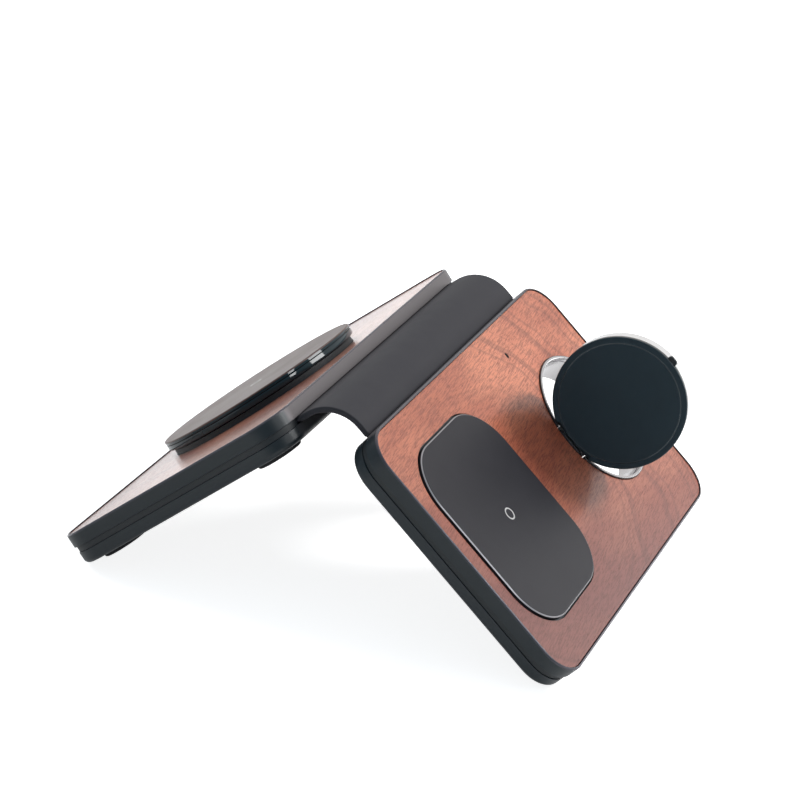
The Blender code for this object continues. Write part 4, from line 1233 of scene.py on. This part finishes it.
    def middle_frame(self) -> None:
        """The dark frame at the bottom of the seam."""
        (low, high), inset, width = self.frame_span, self.frame_inset, self.frame_width
        edge, (gate_x, gate_y) = self.frame_bevel, self.tongue_gate
        rim, under, over = self.sizes.rim, low - self.spare, high + self.spare
        sections = [(rim, low), (inset, low + edge), (inset, high - edge), (rim, high)]
        plate = Workshop.loft("frame", self.outline, sections)
        half = self.sizes.length / 2 - width
        corners = (self.frame_hinge_width, -half), (self.sizes.depth - width, half)
        inner = RoundedOutline(*corners, self.frame_round, 8)
        room = Workshop.prism("room", inner, (under, over))
        gate = Workshop.box("gate", (-2, -gate_y, under), (gate_x, gate_y, over))
        Workshop.apply(plate, BooleanKind.CUT, room, gate)
        (self.cut_light if self.side is Side.RIGHT else self.cut_socket)(plate)
        self.finish(plate, self.node("middle_frame"), "dark_plastic")

    def veneer(self) -> None:
        """The wood inlay, cut out for the stations."""
        s = self.sizes
        inset, top, edge = s.rim + self.veneer_gap, -s.rim_proud, self.veneer_bevel
        sections = [(inset, -s.veneer), (inset, top - edge), (inset + edge, top)]
        sheet = Workshop.loft("veneer", self.outline, sections)
        if self.side is Side.RIGHT:
            pad, light = EarbudPad(self.paint).outline, self.light_outline
            pocket = Workshop.prism("pocket", pad, self.pad_cut, -self.pad_gap)
            hole = Workshop.rods("hole", self.bay_opening, self.veneer_cut, self.bay, FINE)
            slot = Workshop.prism("light_slot", light, self.light_cut, -self.light_gap)
            Workshop.apply(sheet, BooleanKind.CUT, pocket, hole, slot)
        else:
            spot = [(s.middle, 0.0)]
            hole = Workshop.rods("hole", self.puck_opening, self.veneer_cut, spot, FINE)
            Workshop.apply(sheet, BooleanKind.CUT, hole)
        # the left panel's veneer carries pale tone painted in as glare
        look = "walnut_veneer" if self.side is Side.RIGHT else "walnut_turned"
        self.finish(sheet, self.node("wood_veneer"), "walnut_veneer", look)

    def status_light(self) -> None:
        """The small dark lens of the status light, on its guide."""
        guide = Workshop.loft("guide", self.light_outline, self.light_lens)
        self.finish(guide, "status_light", "light_guide")

    def repeated(
        self, recipe: GeometryRecipe, values: dict[str, object], inset: float, piece: str, slot: str
    ) -> None:
        """Sets one shape at the panel's four corners.

        Args:
            recipe: the Geometry Nodes tree that repeats it.
            values: the tree's inputs.
            inset: distance of the places from both edges.
            piece: name of the CAD nodes, without side and number.
            slot: their material slot.
        """
        name, material = self.node(piece), self.paint.get(slot, own=True)
        places = Workshop.points(piece, self.sizes.corners(inset))
        recipe.apply(places, {**values, "Material": material})
        nodes = [f"{name}_{i}" for i in (1, 2, 3, 4)]
        Workshop.finish_piece(places, name + "_set_skin", self.seat, nodes, slot, material)

    def feet(self) -> None:
        """Four rubber feet, each with a rim and a ring of grip dots."""
        s, bevel, r = self.sizes, self.bevel, self.sizes.foot_radius
        bottom = -s.height - s.foot_proud
        top = -s.height + s.foot_recess - self.foot_gap
        well, rise = self.foot_well
        sections = [(r - bevel, top), (r, top - bevel), (r, bottom + self.foot_edge)]
        sections += drawn_in(self.foot_tread, r, bottom)
        sections += [(well, bottom + rise)]
        values = {
            "Shape": Workshop.loft("foot", CircleOutline(steps=64), sections),
            "Dot Count": self.dot_count,
            "Ring Radius": r * self.dot_ring,
            "Dot Radius": self.dot_radius,
            "Level": bottom + self.dot_level,
        }
        self.repeated(grip_feet_recipe(), values, s.foot_inset, "rubber_foot", "foot_rubber")

    def case_screws(self) -> None:
        """Four screws with rounded heads and a cross recess, each turned by its own angle."""
        bottom = -self.sizes.height
        top, shank, core = bottom + self.screw_seat, self.screw_shank, self.screw_core
        head = lifted(self.screw_head, bottom)
        head += [(self.screw_head[-1][0], top), (shank, top)]
        start, pitch = top + self.thread_gap, self.screw_pitch
        turns = range(self.thread_steps)
        thread = [(shank if i % 2 else core, start + pitch * i) for i in turns]
        sections = head + thread + list(self.screw_tip)
        screw = Workshop.loft("screw", CircleOutline(steps=32), sections)
        deep, (far, near) = bottom + self.cross_half[0], self.cross_half
        across = Workshop.box("across", (-far, -near, bottom), (far, near, deep))
        along = Workshop.box("along", (-near, -far, bottom), (near, far, deep))
        Workshop.apply(screw, BooleanKind.CUT, across, along)
        values = {"Shape": screw, "Seed": 7}
        inset = self.sizes.post_inset
        self.repeated(turned_screws_recipe(), values, inset, "case_screw", "screw_steel")

    def build(self) -> None:
        """Builds every piece of the shell."""
        self.upper_case()
        self.lower_case()
        self.middle_frame()
        self.veneer()
        self.feet()
        self.case_screws()
        if self.side is Side.RIGHT:
            self.status_light()


@dataclass
class EarbudPad(SubAssembly):
    """The earbud pad: a satin cover with a polished bevel, lightened as a painted highlight."""

    size_x: float = 51.7
    size_y: float = 44.4
    corner: float = 13.0
    edge: Profile = ((0.0, -0.7), (0.0, 0.10), (0.04, 0.14), (0.26, 0.32), (0.36, 0.37), (0.6, 0.4))

    @property
    def outline(self) -> RoundedOutline:
        """The pad's outline."""
        x, y, dx, dy = self.sizes.middle, self.sizes.pad_y, self.size_x / 2, self.size_y / 2
        return RoundedOutline((x - dx, y - dy), (x + dx, y + dy), self.corner, 20)

    def build(self) -> None:
        """The cover, with a bevel all round."""
        cover = Workshop.loft("pad", self.outline, self.edge)
        self.finish(cover, "earbud_pad_cover", "pad_plastic")


@dataclass
class PhonePuck(SubAssembly):
    """The round phone puck of the left panel."""

    side: Side = field(default=Side.LEFT, kw_only=True)
    radius: float = 28.3
    height: float = 4.05
    base: Profile = ((27.1, 1.1), (27.1, -0.7), (24.8, -0.7), (24.8, 1.1))
    tub_inside: Profile = ((23.5, -2.6), (23.5, 2.95))
    tub_edge: Profile = ((0.15, 2.95), (0.03, 2.88), (0.0, 2.8), (0.0, 1.75), (0.1, 1.5), (0.35, 1.4))
    tub_foot: Profile = ((24.5, 1.4), (24.5, -3.4))
    cap_edge: Profile = ((0.35, 0.0), (0.2, -0.03), (0.03, -0.17), (0.0, -0.35))
    cap_wall: Profile = ((0.0, 3.1), (0.03, 3.04), (0.15, 3.0))
    cap_inside: Profile = ((23.2, 3.0), (23.2, 3.15))

    def build(self) -> None:
        """Base ring, glossy tub and satin cap."""
        circle = CircleOutline((self.sizes.middle, 0.0))
        base = Workshop.loft("base", circle, self.base, closed=True)
        self.finish(base, "phone_puck_base", "dark_plastic")
        edge = drawn_in(self.tub_edge, self.radius)
        tub = Workshop.loft("tub", circle, [*self.tub_inside, *edge, *self.tub_foot])
        self.finish(tub, "phone_puck_tub", "gloss_black")
        edge = drawn_in(self.cap_edge, self.radius, self.height)
        edge += drawn_in(self.cap_wall, self.radius)
        cap = Workshop.loft("cap", circle, [*edge, *self.cap_inside])
        self.finish(cap, "phone_puck_cap", "puck_satin")


@dataclass
class WatchStation(SubAssembly):
    """The polished ring of the bay, and the disc that flips up out of it."""

    disc_radius: float = 17.35
    housing_radius: float = 17.15
    housing_height: float = 5.0
    tab_reach: float = 1.1
    tab_half: float = 1.35
    tab_length: float = 2.7
    tab_round: float = 0.8
    tab_sides: Profile = ((0.1, 0.0), (0.0, 0.1))
    tab_top: Profile = ((0.0, -0.5), (0.15, -0.35))
    pivot_drop: float = 1.2
    pivot_gap: float = 0.1
    open_angle: float = math.radians(81.0)
    ring_lip: Profile = ((18.55, 0.15), (19.0, 0.15), (19.14, 0.10), (19.2, -0.02), (19.2, -0.7))
    ring_foot: Profile = ((18.7, 0.0), (18.2, 0.0), (18.05, 0.05), (18.0, 0.2))
    ring_step: Profile = ((18.25, -1.4), (18.5, -1.4), (18.5, -0.9), (18.32, -0.9))
    ring_top: Profile = ((18.3, -0.05), (18.36, 0.08))
    ring_neck: Profile = ((18.7, -0.7),)
    ring_gap: float = 0.3
    gate_half: float = 5.05
    gate_reach: float = 21.0
    gate_near: float = 1.5
    gate_span: Point = (-5.3, -0.75)
    inner_reach: float = 18.75
    inner_span: Point = (-2.0, 2.0)
    tab_gap: float = 0.3
    tab_root: float = 1.0
    tab_span: Point = (-1.8, 2.0)
    cap_height: float = 1.5
    cap_round: float = 0.35
    cap_line: Profile = ((1.75, 0.0), (1.72, -0.2), (1.53, -0.2), (1.5, 0.0))
    cap_bevel: float = 0.08
    notch: tuple[Triple, Triple] = ((-6.6, -3.0, -20.0), (6.6, 1.5, 20.0))
    housing_gap: float = 0.3
    housing_wall: float = 1.4
    housing_bevel: float = 0.15
    housing_round: float = 1.0
    knuckle_half: float = 2.95
    knuckle_radius: float = 1.2
    web_foot: float = -3.0
    web_reach: float = 2.2
    pin_bore: float = 0.75
    pin_reach: float = 4.0

    @property
    def pivot_y(self) -> float:
        """Place of the pivot along the hinge."""
        return self.sizes.bay_y - self.disc_radius - self.pivot_gap

    @property
    def disc_seat(self) -> Seat:
        """Seat of the disc, whose own millimetres are those of the shut disc.

        Returns:
            Its place and body.
        """
        shift = Matrix.Translation((self.sizes.middle, self.pivot_y, -self.pivot_drop))
        turn = Matrix.Rotation(self.open_angle, 4, "X")
        return self.sizes.place(self.side) @ shift @ turn, "watch_charger"

    def cutter(self, name: str, half: float, y: Point, z: Point) -> Solid:
        """A box across the panel's middle line.

        Args:
            name: name of the object.
            half: half its width.
            y: where it starts and ends along the hinge.
            z: its lower and upper height.

        Returns:
            The scratch object.
        """
        x = self.sizes.middle
        return Workshop.box(name, (x - half, y[0], z[0]), (x + half, y[1], z[1]))

    def ring(self) -> None:
        """The polished ring, with a thin lip whose outer edge is painted dark as shade where it meets the
        wood.
        """
        middle, near = self.sizes.bay_y, self.pivot_y + self.gate_near
        bottom = -self.sizes.height + self.ring_gap
        foot = lifted(self.ring_foot, bottom)
        top = self.ring_step + self.ring_top
        circle = CircleOutline((self.sizes.middle, middle))
        sections = [*self.ring_lip, *self.ring_neck, *foot, *top]
        ring = Workshop.loft("ring", circle, sections, closed=True)
        end = middle + self.disc_radius
        room, reach = self.tab_half + self.tab_gap, end + self.tab_reach + self.tab_gap
        gate = self.cutter("gate", self.gate_half, (middle - self.gate_reach, near), self.gate_span)
        inner = self.cutter("inner", self.gate_half, (middle - self.inner_reach, near), self.inner_span)
        pocket = self.cutter("pocket", room, (end - self.tab_root, reach), self.tab_span)
        Workshop.apply(ring, BooleanKind.CUT, gate, inner, pocket)
        self.finish(ring, "watch_bay_ring", "polished_metal")

    def disc(self) -> None:
        """The black cap with its finger tab, and the metal housing behind it."""
        y, r, front = self.disc_radius + self.pivot_gap, self.disc_radius, self.pivot_drop
        circle, turn, bevel = CircleOutline((0.0, y)), self.cap_round, self.cap_bevel
        low = front - self.cap_height
        sections = drawn_in(self.cap_line, r, front)
        sections += [(r - turn, front)]
        sections += [(r - turn + x, front - turn + z) for x, z in arc((0, 0), turn, 90, 0)[1:]]
        sections += [(r, low + bevel), (r - bevel, low)]
        cap = Workshop.loft("cap", circle, sections)
        corners = (-self.tab_half, y + r - self.tab_length), (self.tab_half, y + r + self.tab_reach)
        sides = lifted(self.tab_sides, low) + lifted(self.tab_top, front)
        tab = Workshop.loft("tab", RoundedOutline(*corners, self.tab_round, 8), sides)
        notch = Workshop.box("notch", *self.notch)
        Workshop.apply(cap, BooleanKind.JOIN, tab)
        Workshop.apply(cap, BooleanKind.CUT, notch)
        self.finish(cap, "watch_disc_cap", "gloss_black", "disc_front", self.disc_seat)
        top, h, half = low - self.housing_gap, self.housing_radius, self.knuckle_half
        wall, bevel, turn = h - self.housing_wall, self.housing_bevel, self.housing_round
        foot = top - self.housing_height + turn
        body = [(wall, foot), (wall, top), (h - bevel, top), (h, top - bevel)]
        edge = arc((h - turn, foot), turn, 0, -90, 8)
        housing = Workshop.loft("housing", circle, body + edge)
        rod = Workshop.rods("rod", self.knuckle_radius, (-half, half), [(0, 0)])
        reach = self.pin_reach
        bore = Workshop.rods("bore", self.pin_bore, (-reach, reach), [(0, 0)], 32)
        for piece in (rod, bore):
            piece.data.transform(Matrix.Rotation(QUARTER, 4, "Y"))
        web = Workshop.box("web", (-half, 0.0, self.web_foot), (half, self.web_reach, top))
        Workshop.apply(housing, BooleanKind.CUT, notch)
        Workshop.apply(housing, BooleanKind.JOIN, web, rod)
        Workshop.apply(housing, BooleanKind.CUT, bore)
        self.finish(housing, "watch_disc_housing", "aluminium", seat=self.disc_seat)

    def build(self) -> None:
        """Builds the station."""
        self.ring()
        self.disc()


@dataclass
class HingeBand(SubAssembly):
    """The flexible band that arches between the panels."""

    width: float = 103.0
    thickness: float = 1.5
    tongue: float = 1.0
    tongue_length: float = 7.0
    tongue_end: float = 0.25
    band_start: float = 0.3
    lead: float = 3.0
    edge_round: float = 0.45
    edge_turns: tuple[float, ...] = (0, 0.4, 0.8, 1.2)
    arc_steps: int = 36
    long_steps: int = 12
    blend_inset: float = 2.9

    def path(self) -> list[tuple[Vector, Vector, bool]]:
        """The band's middle line, in (x, z).

        Returns:
            Its points, each with its normal and whether it is on a tongue.
        """
        slope = self.sizes.slope
        out = Vector((math.cos(slope), math.sin(slope)))
        up = Vector((-math.sin(slope), math.cos(slope)))
        rim = Vector((-self.sizes.hinge_gap / 2, self.sizes.lift))
        seam = rim - up * (self.sizes.upper + self.sizes.seam / 2)
        start = seam + out * self.lead
        radius = -start.x / math.sin(slope)
        centre = Vector((0, start.y - radius * math.cos(slope)))
        left = [(seam - out * self.tongue_length, up, True), (seam + out * self.tongue_end, up, True)]
        left += [(seam + out * self.band_start, up, False)]
        for i in range(self.arc_steps // 2 + 1):
            angle = slope * (1 - 2 * i / self.arc_steps)
            ray = Vector((-math.sin(angle), math.cos(angle)))
            left.append((centre + ray * radius, ray, False))
        flip = Vector((-1, 1))
        right = [(p * flip, n * flip, t) for p, n, t in reversed(left[:-1])]
        return left + right

    def outline(self, inset: float) -> list[Point]:
        """The band's cross-section in (x, z).

        Args:
            inset: how far it is drawn in.

        Returns:
            The points, in order round it.
        """
        over, under = [], []
        for point, normal, on_tongue in self.path():
            half = (self.tongue if on_tongue else self.thickness) / 2
            reach = max(half - inset, LEAST)
            over.append(tuple(point + normal * reach))
            under.append(tuple(point - normal * reach))
        return over + under[::-1]

    def build(self) -> None:
        """The band, with round long edges, bending between the two panels."""
        half, turn, count = self.width / 2, self.edge_round, self.long_steps
        edge = [(turn - turn * math.sin(a), turn - turn * math.cos(a)) for a in self.edge_turns]
        near = [(inset, -half + run) for inset, run in edge] + [(0.0, -half + turn)]
        far = [(inset, -y) for inset, y in reversed(near)]
        run = self.width - 2 * turn
        steps = [(0.0, -half + turn + run * i / count) for i in range(1, count)]
        band = Workshop.loft("band", self.outline, near + steps + far)
        band.data.transform(Matrix.Rotation(QUARTER, 4, "X"))
        piece = self.finish(band, "hinge_band", "band_rubber", seat=(Matrix.Scale(MM, 4), None))
        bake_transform(piece)


@dataclass
class FlatCoil(SubAssembly):
    """A wound charging coil."""

    node: str
    carrier: Seat
    inner: float
    outer: float
    top: float
    thickness: float = 1.1
    turns: float = 8.0
    wire_share: float = 0.96

    def build(self) -> None:
        """The winding, as one long wire."""
        pitch = (self.outer - self.inner) / (self.turns + 1)
        wire = min(self.thickness, pitch * self.wire_share) / 2
        holder = Workshop.points(self.node + "_winding", [(0.0, 0.0)])
        values = {
            "Inner Radius": self.inner + wire,
            "Outer Radius": self.outer - wire,
            "Turns": self.turns,
            "Wire Radius": wire,
            "Level": self.top - self.thickness / 2,
            "Material": self.paint.get("copper_coil", own=True),
        }
        flat_coil_recipe().apply(holder, values)
        self.finish(holder, self.node, "copper_coil", seat=self.carrier)


@dataclass
class CadDress:
    """Finishes of the CAD nodes that are shown as they are."""

    paint: Paintbox

    def build(self) -> None:
        """Gives each shown CAD node the material of its slot in the record."""
        slots = {row["node"]: row["material_slot"] for row in frame["record"]["subparts"]}
        for name, node in frame["nodes"].items():
            if node.hide_render:
                continue
            node.data.materials.clear()
            node.data.materials.append(self.paint.get(slots[name]))
            LOG.info("%s keeps its CAD solid", name)


@dataclass(frozen=True)
class Lamp:
    """A square soft light: its place and side in metres, its power in watts, and its use."""

    name: str
    place: Triple
    size: float
    power: float
    use: LightUse


LAMPS = (
    Lamp("key", (0.656, 0.790, 0.640), 0.24, 12.0, LightUse.BODY),
    Lamp("fill", (-0.95, 0.16, 0.72), 0.50, 4.4, LightUse.BODY),
    Lamp("backlight", (0.74, 1.10, 0.16), 0.34, 1.1, LightUse.GLEAM),
    Lamp("window", (0.76, 0.22, 0.62), 0.34, 4.4, LightUse.GLEAM),
    Lamp("window_bar", (0.70, -0.36, 0.60), 0.13, 0.6, LightUse.GLEAM),
)


@dataclass
class Studio:
    """Pale floor, soft light and the camera of the photograph."""

    lift: float = PanelSizes().lift
    eye: Triple = (199.1, -572.6, 248.7)
    right: Triple = (0.9269, 0.3655, 0.0858)
    up: Triple = (-0.2204, 0.3446, 0.9125)
    back: Triple = (0.3039, -0.8647, 0.3999)
    focal_pixels: float = 2606.38
    frame_pixels: float = 800.0
    sensor: float = 36.0
    clip: Point = (0.01, 50.0)
    aim: Triple = (0, 0, 0.03)
    world_strength: float = 0.70
    front_tone: Triple = (0.29, 0.37, 0.43)
    back_tone: Triple = (1.0, 0.99, 0.98)
    back_edge: Point = (-0.5, 0.6)
    white: Triple = (1.0, 1.0, 1.0)
    floor_tone: Triple = (0.75, 0.75, 0.75)
    floor_roughness: float = 0.9
    floor_size: float = 6.0
    floor_drop: float = 0.0002
    floor_glow: float = 0.86
    floor_mirrored: float = 0.45

    def floor(self) -> None:
        """A wide pale floor, white to the camera where no shadow lies."""
        bm = bmesh.new()
        bmesh.ops.create_grid(bm, x_segments=1, y_segments=1, size=self.floor_size)
        mesh = bpy.data.meshes.new("floor")
        bm.to_mesh(mesh)
        bm.free()
        floor = add_object("floor", mesh)
        floor.location.z = -self.floor_drop
        made = Surface("floor")
        path = made.add("ShaderNodeLightPath").outputs
        mirrored = made.times(path["Is Glossy Ray"], self.floor_mirrored)
        seen = made.math("MAXIMUM", path["Is Camera Ray"], mirrored)
        made.set(
            {
                "Base Color": rgba(self.floor_tone),
                "Roughness": self.floor_roughness,
                "Specular IOR Level": 0.0,
                "Emission Color": rgba(self.white),
                "Emission Strength": made.times(seen, self.floor_glow),
            }
        )
        mesh.materials.append(made.material)

    def lamp(self, light: Lamp) -> None:
        """Sets up a lamp that faces the charger.

        Args:
            light: its values.
        """
        data = bpy.data.lights.new(light.name, "AREA")
        data.shape = "SQUARE"
        data.size = light.size
        data.energy = light.power
        lamp = add_object(light.name, data)
        lamp.location = light.place
        way = Vector(self.aim) - Vector(light.place)
        lamp.rotation_euler = way.to_track_quat("-Z", "Y").to_euler()
        lamp.visible_diffuse = light.use is LightUse.BODY
        lamp.visible_glossy = light.use is LightUse.GLEAM

    def world(self) -> None:
        """White to the camera; to everything else a soft light, brighter behind the charger."""
        world = bpy.data.worlds.new("studio")
        bpy.context.scene.world = world
        world.use_nodes = True
        tree = ShaderTree(world.node_tree)
        nodes = world.node_tree.nodes
        soft = nodes["Background"]
        depth = tree.split(tree.add("ShaderNodeTexCoord").outputs["Generated"])[1]
        tone = tree.mix(tree.ramp(depth, *self.back_edge), rgba(self.front_tone), rgba(self.back_tone))
        tree.feed(soft.inputs["Color"], tone)
        path = tree.add("ShaderNodeLightPath").outputs
        extra = tree.times(path["Is Glossy Ray"], 1.0 - self.world_strength)
        tree.feed(soft.inputs["Strength"], tree.math("ADD", extra, self.world_strength))
        white = tree.out("ShaderNodeBackground", {"Color": rgba(self.white), "Strength": 1.0})
        parts = {0: path["Is Camera Ray"], 1: soft.outputs[0], 2: white}
        tree.feed(nodes["World Output"].inputs["Surface"], tree.out("ShaderNodeMixShader", parts))

    def camera(self) -> None:
        """The camera of the photograph."""
        data = bpy.data.cameras.new("camera")
        data.sensor_width = self.sensor
        data.lens = self.focal_pixels * self.sensor / self.frame_pixels
        data.clip_start, data.clip_end = self.clip
        camera = add_object("camera", data)
        columns = Matrix((self.right, self.up, self.back)).transposed().to_4x4()
        place = Vector(self.eye) + Vector((0, 0, self.lift))
        camera.matrix_world = Matrix.Translation(place * MM) @ columns
        bpy.context.scene.camera = camera

    def build(self) -> None:
        """Sets up the whole stage."""
        self.floor()
        self.world()
        for light in LAMPS:
            self.lamp(light)
        self.camera()
        bpy.context.scene.view_settings.view_transform = "Standard"


def coils(paint: Paintbox) -> list[FlatCoil]:
    """The three charging coils, each under its station.

    Args:
        paint: the finishes.

    Returns:
        The coils.
    """
    s, station = PanelSizes(), WatchStation(paint)
    earbud = s.place(Side.RIGHT) @ Matrix.Translation((s.middle, s.pad_y, 0)), Side.RIGHT.body
    phone = s.place(Side.LEFT) @ Matrix.Translation((s.middle, 0, 0)), Side.LEFT.body
    disc, body = station.disc_seat
    watch = disc @ Matrix.Translation((0, station.disc_radius + station.pivot_gap, 0)), body
    return [
        FlatCoil(paint, "earbud_coil", earbud, 9.0, 17.0, -2.3),
        FlatCoil(paint, "phone_coil", phone, 11.0, 19.5, 2.85),
        FlatCoil(paint, "watch_coil", watch, 7.0, 14.0, -0.6),
    ]


def main() -> None:
    """Builds every piece, the stage and the camera."""
    logging.basicConfig(level=logging.INFO, format="%(name)s %(message)s")
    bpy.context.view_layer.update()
    paint = Paintbox()
    for side in Side:
        PanelShell(paint, side=side).build()
    EarbudPad(paint).build()
    PhonePuck(paint).build()
    WatchStation(paint).build()
    HingeBand(paint).build()
    for coil in coils(paint):
        coil.build()
    Workshop.clear()
    CadDress(paint).build()
    Studio().build()


if __name__ == "__main__":
    main()
